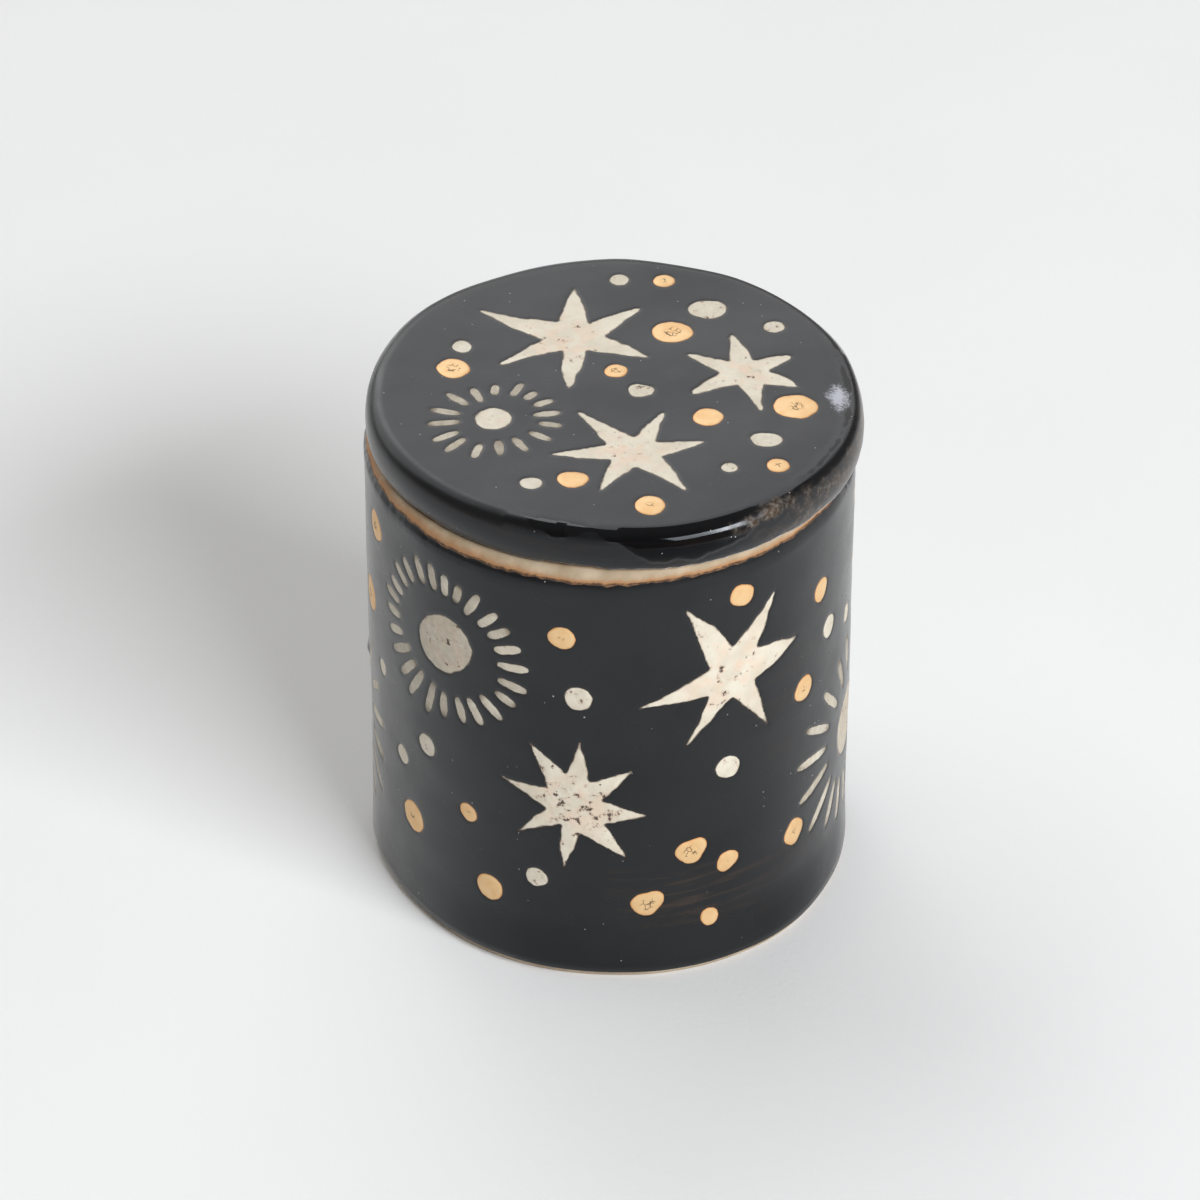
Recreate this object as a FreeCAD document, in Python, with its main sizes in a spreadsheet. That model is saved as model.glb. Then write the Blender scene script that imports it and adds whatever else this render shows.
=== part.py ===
import FreeCAD, Part
import os
import Sketcher
from FreeCAD import Vector

# The lidded jar's driving sizes, in millimetres
SIZES = (
    ("pot_radius", "33.6", "outside of the clay wall"),
    ("wall_thickness", "4.6", "rolled slab that makes the wall"),
    ("base_thickness", "5.0", "rolled slab that makes the base"),
    ("pot_height", "68.9", "foot to the rim that carries the lid"),
    ("foot_round", "0.8", "sponged edge of the base"),
    ("rim_round", "1.3", "outer edge of the bare rim"),
    ("rim_inner_round", "1.0", "inner edge of the bare rim"),
    ("glaze_thickness", "0.4", "black glaze on pot and lid"),
    ("glaze_foot_gap", "0.1", "bare clay between the sponged edge and the black glaze"),
    ("glaze_rim_gap", "0.7", "bare clay between the black glaze and the rim's rounding"),
    ("liner_thickness", "0.3", "clear glaze inside the pot"),
    ("liner_corner_round", "2.0", "clear glaze pooled where the floor meets the wall"),
    ("liner_rim_gap", "1.5", "bare clay between the clear glaze and the rim's rounding"),
    ("slip_thickness", "0.25", "cream slip in the windows of the glaze"),
    ("gold_thickness", "0.32", "gold lustre dots in their windows"),
    ("lid_inset", "0.4", "how far the lid slab's flat faces stop inside the pot's wall"),
    ("lid_bulge", "0.7", "how far the lid's side swells past its flat faces"),
    ("lid_thickness", "5.8", "rolled slab that makes the lid"),
    ("lid_top_round", "1.2", "upper edge of the lid slab"),
    ("lid_foot_round", "0.7", "lower edge of the lid slab"),
    ("lid_glaze_gap", "0.1", "bare clay between the lid's lower rounding and its glaze"),
    ("lid_shift", "0.8", "how far off centre the lid rests"),
    ("ring_play", "1.1", "gap that the shifted lid leaves between its ring and the pot's inside"),
    ("ring_width", "3.6", "clay of the locating ring"),
    ("ring_depth", "5.0", "how far the locating ring hangs below the lid"),
    ("ring_round", "0.8", "lower edges of the locating ring"),
    ("large_star_reach", "13.2", "centre to the longest arm"),
    ("medium_star_reach", "12.0", "centre to the longest arm"),
    ("small_star_reach", "10.0", "centre to the longest arm"),
    ("eight_star_reach", "11.0", "centre to the longest arm"),
    ("lid_sun_reach", "9.5", "centre to the ends of the rays"),
    ("lid_sun_disc_radius", "2.5", "disc of the lid's sun"),
    ("wall_sun_reach", "14.0", "centre to the ends of the rays"),
    ("wall_sun_disc_radius", "4.8", "disc of the middle sun on the wall"),
    ("large_sun_reach", "17.5", "centre to the ends of the rays"),
    ("large_sun_disc_radius", "5.3", "disc of the two larger suns on the wall"),
    ("ray_width", "1.2", "outer end of a brushed ray"),
    ("dot_diameter", "4.0", "the usual dot"),
    ("overrun", "0.5", "how far a cut runs past the face it opens"),
)
# How near an edge must lie to its stated place to be taken for it, as a share of the overrun
NEAR_SHARE = 0.01

# Star outlines, each corner as shares of that star's reach, across and along
BROAD_STAR_SHARES = (
    (0.70, 0.59), (0.41, 0.45), (0.15, 0.27), (0.12, 0.56),
    (-0.01, 0.94), (-0.11, 0.58), (-0.17, 0.32), (-0.59, 0.39),
    (-1.00, 0.52), (-0.68, 0.21), (-0.33, -0.03), (-0.55, -0.24),
    (-0.78, -0.51), (-0.45, -0.36), (-0.11, -0.22), (-0.14, -0.58),
    (-0.06, -0.98), (0.08, -0.57), (0.14, -0.23), (0.47, -0.31),
    (0.79, -0.39), (0.58, -0.14), (0.33, 0.04), (0.55, 0.35),
)
LEANING_STAR_SHARES = (
    (0.32, 0.85), (0.13, 0.60), (-0.02, 0.34), (-0.35, 0.60),
    (-0.67, 0.82), (-0.49, 0.49), (-0.33, 0.18), (-0.63, 0.08),
    (-0.97, -0.03), (-0.60, -0.11), (-0.28, -0.12), (-0.36, -0.43),
    (-0.42, -0.76), (-0.22, -0.52), (-0.02, -0.27), (0.27, -0.48),
    (0.54, -0.72), (0.43, -0.38), (0.28, -0.06), (0.53, 0.07),
    (0.80, 0.23), (0.50, 0.24), (0.22, 0.24), (0.27, 0.55),
)
STUBBY_STAR_SHARES = (
    (0.68, 0.40), (0.42, 0.38), (0.14, 0.28), (0.04, 0.59),
    (-0.17, 0.95), (-0.20, 0.60), (-0.20, 0.25), (-0.50, 0.38),
    (-0.82, 0.47), (-0.58, 0.19), (-0.34, -0.03), (-0.56, -0.23),
    (-0.75, -0.54), (-0.42, -0.43), (-0.10, -0.30), (0.06, -0.64),
    (0.21, -0.97), (0.23, -0.63), (0.25, -0.30), (0.50, -0.34),
    (0.74, -0.36), (0.60, -0.14), (0.34, 0.02), (0.52, 0.19),
)
STRIDING_STAR_SHARES = (
    (0.54, 0.81), (0.26, 0.55), (0.01, 0.31), (-0.18, 0.62),
    (-0.51, 0.92), (-0.39, 0.52), (-0.25, 0.11), (-0.60, -0.05),
    (-0.97, -0.23), (-0.61, -0.23), (-0.26, -0.23), (-0.37, -0.52),
    (-0.51, -0.80), (-0.23, -0.55), (0.01, -0.32), (0.24, -0.61),
    (0.45, -0.86), (0.37, -0.52), (0.27, -0.20), (0.56, -0.11),
    (0.85, 0.05), (0.59, 0.14), (0.30, 0.19), (0.43, 0.48),
)
EIGHT_STAR_SHARES = (
    (0.68, 0.51), (0.45, 0.45), (0.18, 0.35), (0.14, 0.66),
    (0.06, 0.95), (-0.02, 0.69), (-0.11, 0.45), (-0.33, 0.66),
    (-0.57, 0.85), (-0.46, 0.56), (-0.34, 0.20), (-0.60, 0.19),
    (-0.92, 0.21), (-0.64, 0.05), (-0.35, -0.14), (-0.54, -0.31),
    (-0.72, -0.58), (-0.44, -0.44), (-0.17, -0.35), (-0.20, -0.73),
    (-0.14, -1.00), (-0.03, -0.76), (0.06, -0.45), (0.33, -0.64),
    (0.63, -0.84), (0.51, -0.56), (0.35, -0.29), (0.60, -0.25),
    (0.88, -0.19), (0.60, -0.04), (0.33, 0.07), (0.51, 0.26),
)

# Stars on the wall: outline, reach, degrees round from the front, share of the height, turn in place
WALL_STAR_SHARES = (
    (STRIDING_STAR_SHARES, "large_star_reach", 29.1, 0.717, 0),
    (EIGHT_STAR_SHARES, "eight_star_reach", -8.0, 0.433, 0),
    (BROAD_STAR_SHARES, "medium_star_reach", 131.0, 0.705, 20),
    (EIGHT_STAR_SHARES, "eight_star_reach", 146.0, 0.300, 15),
    (STRIDING_STAR_SHARES, "large_star_reach", -143.0, 0.700, -50),
    (LEANING_STAR_SHARES, "small_star_reach", -172.0, 0.240, 35),
)
# Stars on the lid: outline, reach, place as shares of the lid's radius
LID_STAR_SHARES = (
    (BROAD_STAR_SHARES, "large_star_reach", -0.181, 0.392),
    (LEANING_STAR_SHARES, "medium_star_reach", 0.075, -0.452),
    (STUBBY_STAR_SHARES, "small_star_reach", 0.527, 0.136),
)

# Rays of a sun: degrees from across, inner end and outer end as shares of that sun's reach
WALL_SUN_RAY_SHARES = (
    (2, 0.64, 0.96), (-14, 0.66, 0.96), (-28, 0.68, 0.93), (-44, 0.61, 0.93),
    (-60, 0.60, 0.90), (-74, 0.59, 0.88), (-91, 0.59, 0.89), (-105, 0.57, 1.00),
    (-121, 0.61, 1.05), (-133, 0.63, 1.04), (-147, 0.62, 1.03), (-160, 0.70, 0.99),
    (-174, 0.69, 0.99), (173, 0.71, 0.99), (160, 0.67, 0.92), (144, 0.66, 0.94),
    (130, 0.66, 0.92), (114, 0.64, 0.93), (100, 0.60, 0.89), (87, 0.59, 0.84),
    (74, 0.60, 0.83), (60, 0.57, 0.89), (44, 0.61, 0.89), (31, 0.62, 0.90),
    (17, 0.63, 0.92),
)
LID_SUN_RAY_SHARES = (
    (9, 0.58, 0.97), (-10, 0.66, 0.99), (-33, 0.62, 0.98), (-59, 0.56, 0.93),
    (-83, 0.55, 0.91), (-106, 0.65, 0.99), (-130, 0.63, 1.05), (-148, 0.59, 1.00),
    (-173, 0.49, 0.93), (164, 0.49, 0.92), (136, 0.52, 0.94), (112, 0.47, 0.83),
    (89, 0.61, 0.86), (66, 0.64, 0.97), (48, 0.66, 0.90), (29, 0.66, 0.97),
)
LARGE_SUN_RAY_SHARES = (
    (171, 0.57, 1.01), (192, 0.53, 0.98), (152, 0.59, 1.00), (133, 0.52, 0.91),
    (113, 0.50, 0.88), (215, 0.53, 0.99), (234, 0.51, 0.90), (253, 0.53, 0.88),
    (272, 0.52, 0.92), (292, 0.55, 0.97), (313, 0.54, 0.95), (333, 0.57, 1.00),
    (353, 0.55, 0.94), (13, 0.53, 0.97), (33, 0.56, 0.95), (54, 0.52, 0.92),
    (74, 0.54, 0.90), (94, 0.51, 0.87),
)
# A ray's inner end, and the finer brush that drew the lid's sun, as shares of the ray's width
RAY_INNER_SHARE = 0.72
LID_RAY_SHARE = 0.85

# Dots on the wall: degrees round from the front, share of the height, share of the usual diameter
WALL_GOLD_SHARES = (
    (-10.7, 0.839, 0.93), (31.7, 0.894, 0.93), (59.0, 0.785, 0.90), (51.5, 0.582, 1.00),
    (49.0, 0.231, 1.05), (19.2, 0.296, 1.10), (28.4, 0.245, 0.85), (8.7, 0.179, 1.12),
    (23.9, 0.115, 0.72), (-29.5, 0.171, 1.07), (-35.2, 0.341, 0.75), (-54.9, 0.237, 1.23),
    (-71.0, 0.874, 1.15), (-79.0, 0.663, 1.30), (104.0, 0.885, 1.05), (112.0, 0.120, 0.95),
    (124.0, 0.475, 0.90), (160.0, 0.560, 1.15), (158.0, 0.870, 0.85), (178.0, 0.760, 1.25),
    (165.0, 0.095, 0.80), (-170.0, 0.480, 0.75), (-148.0, 0.430, 1.10), (-153.0, 0.110, 1.05),
    (-132.0, 0.300, 0.85), (-120.0, 0.880, 1.10), (-136.0, 0.130, 0.90), (90.0, 0.700, 0.80),
)
WALL_DOT_SHARES = (
    (-7.0, 0.694, 0.97), (28.4, 0.483, 0.97), (-17.3, 0.231, 0.82), (-48.2, 0.454, 0.90),
    (-58.9, 0.373, 0.75), (-70.3, 0.527, 0.68), (63.2, 0.673, 0.90), (77.0, 0.625, 0.75),
    (86.0, 0.870, 0.80), (108.0, 0.560, 0.85), (121.0, 0.290, 0.75), (141.0, 0.500, 0.95),
    (172.0, 0.640, 0.70), (170.0, 0.880, 0.95), (-150.0, 0.280, 0.90), (-165.0, 0.600, 0.85),
    (-112.0, 0.690, 0.90), (-95.0, 0.780, 0.75), (-88.0, 0.930, 0.60),
)
# Dots on the lid: place as shares of the lid's radius, share of the usual diameter
LID_GOLD_SHARES = (
    (0.199, 0.831, 0.78), (0.229, 0.443, 1.38), (-0.678, 0.160, 1.15), (-0.006, 0.145, 0.82),
    (0.370, -0.190, 1.05), (0.732, -0.117, 1.50), (0.645, -0.548, 0.78), (-0.184, -0.645, 1.02),
    (0.127, -0.816, 1.05),
)
LID_DOT_SHARES = (
    (0.009, 0.825, 0.70), (0.380, 0.620, 1.25), (0.663, 0.479, 0.78), (-0.642, 0.322, 0.72),
    (0.096, 0.003, 0.85), (0.602, -0.364, 1.00), (0.449, -0.563, 0.57), (-0.352, -0.672, 0.75),
)

document = FreeCAD.newDocument("LiddedJar")
sheet = document.addObject("Spreadsheet::Sheet", "Sizes")
for row, (alias, size, note) in enumerate(SIZES, start=1):
    sheet.set(f"A{row}", alias)
    sheet.set(f"B{row}", size)
    sheet.setAlias(f"B{row}", alias)
    sheet.set(f"C{row}", note)
document.recompute()

nodes = []


def value(rule):
    """The length that a rule in the sheet's names comes to."""
    return float(sheet.evalExpression(rule))


def node(item, name):
    """Name a finished piece and keep it for writing."""
    item.Label = name
    nodes.append(item)
    return item


def add(kind, name, **rules):
    """A document object with each named property bound to a rule."""
    item = document.addObject(kind, name)
    for attribute, rule in rules.items():
        item.setExpression(attribute, rule)
    return item


# Turned clay pieces


def new_body(name, place_rule=None):
    body = document.addObject("PartDesign::Body", name)
    if place_rule:
        body.setExpression("Placement", place_rule)
    return body


def sketch_on(body, role):
    """A sketch on one of the body's own origin planes."""
    plane = next(item for item in body.Origin.OriginFeatures if item.Role == role)
    sketch = body.newObject("Sketcher::SketchObject", f"{body.Name}_{role}")
    sketch.AttachmentSupport = (plane, "")
    sketch.MapMode = "FlatFace"
    return sketch


def hold(sketch, kind, places, rule):
    """Constrain a sketch with one size that follows a rule."""
    index = sketch.addConstraint(Sketcher.Constraint(kind, *places, value(rule)))
    sketch.setExpression(f"Constraints[{index}]", rule)


def add_circle(sketch, radius_rule):
    circle = Part.Circle(Vector(0, 0, 0), Vector(0, 0, 1), value(radius_rule))
    index = sketch.addGeometry(circle, False)
    sketch.addConstraint(Sketcher.Constraint("Coincident", index, 3, -1, 1))
    hold(sketch, "Radius", (index,), radius_rule)


def add_outline(sketch, corner_rules):
    """A closed outline of straight sides through corners given as rules."""
    corners = [Vector(value(across), value(along), 0) for across, along in corner_rules]
    sides = [Part.LineSegment(corners[i - 1], corners[i]) for i in range(len(corners))]
    first = sketch.GeometryCount
    sketch.addGeometry(sides, False)
    for i, (across, along) in enumerate(corner_rules):
        following = first + (i + 1) % len(corners)
        sketch.addConstraint(Sketcher.Constraint("Coincident", first + i, 2, following, 1))
        hold(sketch, "DistanceX", (-1, 1, first + i, 2), across)
        hold(sketch, "DistanceY", (-1, 1, first + i, 2), along)


def pad(body, sketch, length_rule, downward=False):
    feature = body.newObject("PartDesign::Pad", f"{body.Name}_pad")
    feature.Profile = sketch
    feature.Reversed = downward
    feature.setExpression("Length", length_rule)
    return feature


def revolve(body, sketch):
    feature = body.newObject("PartDesign::Revolution", f"{body.Name}_turn")
    feature.Profile = sketch
    feature.ReferenceAxis = (sketch, ["V_Axis"])
    feature.Angle = 360
    return feature


def round_over(body, base, radius_rule, edge_radius_rule, edge_height_rule, name):
    """Round the circular edge that lies at a radius and a height."""
    document.recompute()
    near = value("Sizes.overrun") * NEAR_SHARE
    edge_radius = value(edge_radius_rule)
    edge_height = value(edge_height_rule)
    names = []
    for index, edge in enumerate(base.Shape.Edges, start=1):
        if not isinstance(edge.Curve, Part.Circle):
            continue
        lowest = edge.BoundBox.ZMin - edge_height
        highest = edge.BoundBox.ZMax - edge_height
        if max(abs(lowest), abs(highest), abs(edge.Curve.Radius - edge_radius)) < near:
            names.append(f"Edge{index}")
    assert names, f"no edge to round on {body.Name}"
    feature = body.newObject("PartDesign::Fillet", f"{body.Name}_{name}")
    feature.Base = (base, names)
    feature.setExpression("Radius", radius_rule)
    return feature


WALL_INSIDE = "(Sizes.pot_radius - Sizes.wall_thickness)"
RING_OUTSIDE = f"({WALL_INSIDE} - Sizes.liner_thickness - Sizes.lid_shift - Sizes.ring_play)"
RING_INSIDE = f"({RING_OUTSIDE} - Sizes.ring_width)"
LID_PLACE = "placement(vector(Sizes.lid_shift; 0; Sizes.pot_height); rotation(vector(0; 0; 1); 0))"
LID_FACE = "(Sizes.pot_height + Sizes.lid_thickness)"
LID_RADIUS = "(Sizes.pot_radius - Sizes.lid_inset)"
ARC_RADIUS = "((Sizes.lid_thickness / 2)^2 + Sizes.lid_bulge^2) / (2 * Sizes.lid_bulge)"
ARC_CENTRE = f"({LID_RADIUS} + Sizes.lid_bulge - {ARC_RADIUS})"


def make_base():
    body = new_body("pot_base_slab")
    sketch = sketch_on(body, "XY_Plane")
    add_circle(sketch, "Sizes.pot_radius")
    slab = pad(body, sketch, "Sizes.base_thickness")
    round_over(body, slab, "Sizes.foot_round", "Sizes.pot_radius", "0", "foot")
    return node(body, "pot_base_slab")


def make_wall():
    """The wall stands on the base slab."""
    body = new_body("pot_wall_slab")
    sketch = sketch_on(body, "XZ_Plane")
    low = "Sizes.base_thickness"
    high = "Sizes.pot_height"
    inside = WALL_INSIDE
    outside = "Sizes.pot_radius"
    add_outline(sketch, ((inside, low), (outside, low), (outside, high), (inside, high)))
    tube = revolve(body, sketch)
    outer = round_over(body, tube, "Sizes.rim_round", outside, high, "outer")
    round_over(body, outer, "Sizes.rim_inner_round", inside, high, "inner")
    return node(body, "pot_wall_slab")


def make_liner():
    """Clear glaze over the floor and up the inside, pooled in the corner."""
    body = new_body("pot_liner_glaze")
    sketch = sketch_on(body, "XZ_Plane")
    floor = "Sizes.base_thickness"
    top = "(Sizes.pot_height - Sizes.rim_inner_round - Sizes.liner_rim_gap)"
    face = f"({WALL_INSIDE} - Sizes.liner_thickness)"
    floor_face = "(Sizes.base_thickness + Sizes.liner_thickness)"
    outline = (
        ("0", floor), (WALL_INSIDE, floor), (WALL_INSIDE, top),
        (face, top), (face, floor_face), ("0", floor_face),
    )
    add_outline(sketch, outline)
    coat = revolve(body, sketch)
    round_over(body, coat, "Sizes.liner_corner_round", face, floor_face, "corner")
    return node(body, "pot_liner_glaze")


def make_lid_blank(name, grow_rule, low_rule):
    """The lid's turned shape, its skin moved outward by one rule and cut level below at another."""
    body = new_body(name, LID_PLACE)
    sketch = sketch_on(body, "XZ_Plane")
    middle = "(Sizes.lid_thickness / 2)"
    radius = f"({ARC_RADIUS} + {grow_rule})"
    high_rule = f"(Sizes.lid_thickness + {grow_rule})"
    low_across = f"({ARC_CENTRE} + sqrt(({radius})^2 - ({low_rule} - {middle})^2))"
    high_across = f"({ARC_CENTRE} + sqrt(({radius})^2 - ({high_rule} - {middle})^2))"
    low_corner = Vector(value(low_across), value(low_rule), 0)
    high_corner = Vector(value(high_across), value(high_rule), 0)
    widest = Vector(value(f"{ARC_CENTRE} + {radius}"), value(middle), 0)
    low_axis = Vector(0, value(low_rule), 0)
    high_axis = Vector(0, value(high_rule), 0)
    sketch.addGeometry(
        [
            Part.LineSegment(low_axis, low_corner),
            Part.Arc(low_corner, widest, high_corner),
            Part.LineSegment(high_corner, high_axis),
            Part.LineSegment(high_axis, low_axis),
        ],
        False,
    )
    for joined in ((0, 2, 1, 1), (1, 2, 2, 1), (2, 2, 3, 1), (3, 2, 0, 1)):
        sketch.addConstraint(Sketcher.Constraint("Coincident", *joined))
    sketch.addConstraint(Sketcher.Constraint("Horizontal", 0))
    sketch.addConstraint(Sketcher.Constraint("Horizontal", 2))
    sketch.addConstraint(Sketcher.Constraint("PointOnObject", 0, 1, -2))
    sketch.addConstraint(Sketcher.Constraint("PointOnObject", 3, 1, -2))
    hold(sketch, "DistanceX", (-1, 1, 1, 3), ARC_CENTRE)
    hold(sketch, "DistanceY", (-1, 1, 1, 3), middle)
    hold(sketch, "Radius", (1,), radius)
    hold(sketch, "DistanceY", (-1, 1, 2, 1), high_rule)
    if value(low_rule):
        hold(sketch, "DistanceY", (-1, 1, 0, 1), low_rule)
    else:
        sketch.addConstraint(Sketcher.Constraint("PointOnObject", 0, 1, -1))
    blank = revolve(body, sketch)
    top = round_over(body, blank, f"Sizes.lid_top_round + {grow_rule}", high_across, high_rule, "top")
    return body, top, low_across


def make_lid_slab():
    body, top, low_across = make_lid_blank("lid_slab", "0", "0")
    round_over(body, top, "Sizes.lid_foot_round", low_across, "0", "foot")
    return node(body, "lid_slab")


def make_ring():
    """The locating ring luted under the lid, loose inside the pot's mouth."""
    body = new_body("lid_locating_ring", LID_PLACE)
    sketch = sketch_on(body, "XY_Plane")
    add_circle(sketch, RING_OUTSIDE)
    add_circle(sketch, RING_INSIDE)
    ring = pad(body, sketch, "Sizes.ring_depth", downward=True)
    below = "-Sizes.ring_depth"
    outer = round_over(body, ring, "Sizes.ring_round", RING_OUTSIDE, below, "outer")
    round_over(body, outer, "Sizes.ring_round", RING_INSIDE, below, "inner")
    return node(body, "lid_locating_ring")


# Places on the wall and on the lid: each rule moves a drawn piece to its place, its face outward


def wall_site(turn, height_share):
    """Degrees round from the front, and a share of the pot's height."""

    def rule(across, along, spin, sink):
        angle = f"({turn} + ({across}) / Sizes.pot_radius * 180 / pi)"
        depth = f"(Sizes.pot_radius - ({sink}))"
        return (
            f"placement(vector({depth} * sin({angle}); -{depth} * cos({angle});"
            f" Sizes.pot_height * {height_share} + ({along}));"
            f" rotation(vector(0; 0; 1); {angle}) * rotation(vector(1; 0; 0); 90)"
            f" * rotation(vector(0; 0; 1); {spin}))"
        )

    return rule


def lid_site(across_share, along_share):
    """Shares of the lid's radius from its centre."""

    def rule(across, along, spin, sink):
        return (
            f"placement(vector(Sizes.lid_shift + {LID_RADIUS} * {across_share} + ({across});"
            f" {LID_RADIUS} * {along_share} + ({along}); {LID_FACE} - ({sink}));"
            f" rotation(vector(0; 0; 1); {spin}))"
        )

    return rule


def sink_rule(reach_rule):
    """How far behind the face a window starts, so that it clears the wall's curve over its reach."""
    return f"Sizes.pot_radius - sqrt(Sizes.pot_radius^2 - ({reach_rule})^2) + Sizes.overrun"


def depth_rule(reach_rule):
    return f"{sink_rule(reach_rule)} + Sizes.glaze_thickness + Sizes.overrun"


def star_window(name, outline_shares, reach, site, spin=0):
    reach_rule = f"Sizes.{reach}"
    sketch = document.addObject("Sketcher::SketchObject", f"{name}_outline")
    add_outline(sketch, [(f"{reach_rule} * {x}", f"{reach_rule} * {y}") for x, y in outline_shares])
    sketch.setExpression("Placement", site("0", "0", spin, sink_rule(reach_rule)))
    prism = add("Part::Extrusion", name, LengthFwd=depth_rule(reach_rule))
    prism.Base = sketch
    prism.DirMode = "Normal"
    prism.Solid = True
    return prism


def dot_window(name, diameter_rule, site):
    radius_rule = f"{diameter_rule} / 2"
    return add(
        "Part::Cylinder",
        name,
        Radius=radius_rule,
        Height=depth_rule(radius_rule),
        Placement=site("0", "0", 0, sink_rule(radius_rule)),
    )


def ray_window(name, reach_rule, ray_shares, width_rule, site):
    """One brushed ray, a little narrower at its inner end."""
    angle, inner_share, outer_share = ray_shares
    length_rule = f"{reach_rule} * {outer_share - inner_share:.2f}"
    middle_rule = f"{reach_rule} * {(outer_share + inner_share) / 2:.3f}"
    return add(
        "Part::Wedge",
        name,
        Ymin=f"-{length_rule} / 2",
        Ymax=f"{length_rule} / 2",
        Xmin=f"-{width_rule} * {RAY_INNER_SHARE} / 2",
        Xmax=f"{width_rule} * {RAY_INNER_SHARE} / 2",
        X2min=f"-{width_rule} / 2",
        X2max=f"{width_rule} / 2",
        Zmin="0",
        Zmax=depth_rule(length_rule),
        Z2min="0",
        Z2max=depth_rule(length_rule),
        Placement=site(
            f"{middle_rule} * cos({angle})",
            f"{middle_rule} * sin({angle})",
            angle - 90,
            sink_rule(length_rule),
        ),
    )


def sun_windows(name, disc_rule, reach_rule, rays_shares, width_rule, site):
    disc = dot_window(f"{name}_disc", f"2 * {disc_rule}", site)
    rays = [
        ray_window(f"{name}_ray_{index}", reach_rule, ray_shares, width_rule, site)
        for index, ray_shares in enumerate(rays_shares, start=1)
    ]
    return [disc, *rays]


def dot_windows(name, place_shares, site):
    return [
        dot_window(f"{name}_{index}", f"Sizes.dot_diameter * {size_share}", site(first, second))
        for index, (first, second, size_share) in enumerate(place_shares, start=1)
    ]


def wall_star_windows():
    return [
        star_window(f"wall_star_{index}", outline, reach, wall_site(turn, height_share), spin)
        for index, (outline, reach, turn, height_share, spin) in enumerate(WALL_STAR_SHARES, start=1)
    ]


def lid_star_windows():
    return [
        star_window(f"lid_star_{index}", outline, reach, lid_site(across_share, along_share))
        for index, (outline, reach, across_share, along_share) in enumerate(LID_STAR_SHARES, start=1)
    ]


def wall_sun_windows():
    middle = sun_windows(
        "middle_sun", "Sizes.wall_sun_disc_radius", "Sizes.wall_sun_reach",
        WALL_SUN_RAY_SHARES, "Sizes.ray_width", wall_site(-41.5, 0.738),
    )
    right = sun_windows(
        "right_sun", "Sizes.large_sun_disc_radius", "Sizes.large_sun_reach",
        LARGE_SUN_RAY_SHARES, "Sizes.ray_width", wall_site(80.0, 0.341),
    )
    left = sun_windows(
        "left_sun", "Sizes.large_sun_disc_radius", "Sizes.large_sun_reach",
        LARGE_SUN_RAY_SHARES, "Sizes.ray_width", wall_site(-99.0, 0.318),
    )
    return middle + right + left


def lid_sun_windows():
    return sun_windows(
        "lid_sun", "Sizes.lid_sun_disc_radius", "Sizes.lid_sun_reach",
        LID_SUN_RAY_SHARES, f"Sizes.ray_width * {LID_RAY_SHARE}", lid_site(-0.508, -0.209),
    )


# Thin coats: a layer on the clay, common to the windows, gives the slip and the gold


def wall_layer(name, thickness_rule):
    outer = add(
        "Part::Cylinder", f"{name}_outer",
        Radius=f"Sizes.pot_radius + {thickness_rule}", Height="Sizes.pot_height",
    )
    inner = add(
        "Part::Cylinder", f"{name}_inner",
        Radius="Sizes.pot_radius", Height="Sizes.pot_height",
    )
    return boolean("Part::Cut", name, outer, inner)


def lid_layer(name, thickness_rule):
    return add(
        "Part::Cylinder", name,
        Radius=LID_RADIUS, Height=thickness_rule,
        Placement=f"placement(vector(Sizes.lid_shift; 0; {LID_FACE}); rotation(vector(0; 0; 1); 0))",
    )


def boolean(kind, name, base, tool):
    item = document.addObject(kind, name)
    item.Base = base
    item.Tool = tool
    return item


def together(name, items):
    compound = document.addObject("Part::Compound", name)
    compound.Links = items
    return compound


def inlay(name, layer, windows):
    piece = boolean("Part::Common", name, layer, together(f"{name}_windows", windows))
    return node(piece, name)


def make_wall_coats():
    stars = wall_star_windows()
    suns = wall_sun_windows()
    dots = dot_windows("wall_dot", WALL_DOT_SHARES, wall_site)
    gold = dot_windows("wall_gold", WALL_GOLD_SHARES, wall_site)
    slip = wall_layer("wall_slip_layer", "Sizes.slip_thickness")
    lustre = wall_layer("wall_gold_layer", "Sizes.gold_thickness")
    inlay("wall_star_slip", slip, stars)
    inlay("wall_sun_slip", slip, suns)
    inlay("wall_dot_slip", slip, dots)
    inlay("wall_gold_lustre", lustre, gold)
    body = new_body("wall_glaze_blank")
    sketch = sketch_on(body, "XZ_Plane")
    inside = "Sizes.pot_radius"
    outside = "(Sizes.pot_radius + Sizes.glaze_thickness)"
    low = "(Sizes.foot_round + Sizes.glaze_foot_gap)"
    high = "(Sizes.pot_height - Sizes.rim_round - Sizes.glaze_rim_gap)"
    add_outline(sketch, ((inside, low), (outside, low), (outside, high), (inside, high)))
    revolve(body, sketch)
    windows = together("wall_windows", stars + suns + dots + gold)
    return node(boolean("Part::Cut", "wall_black_glaze", body, windows), "wall_black_glaze")


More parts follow.
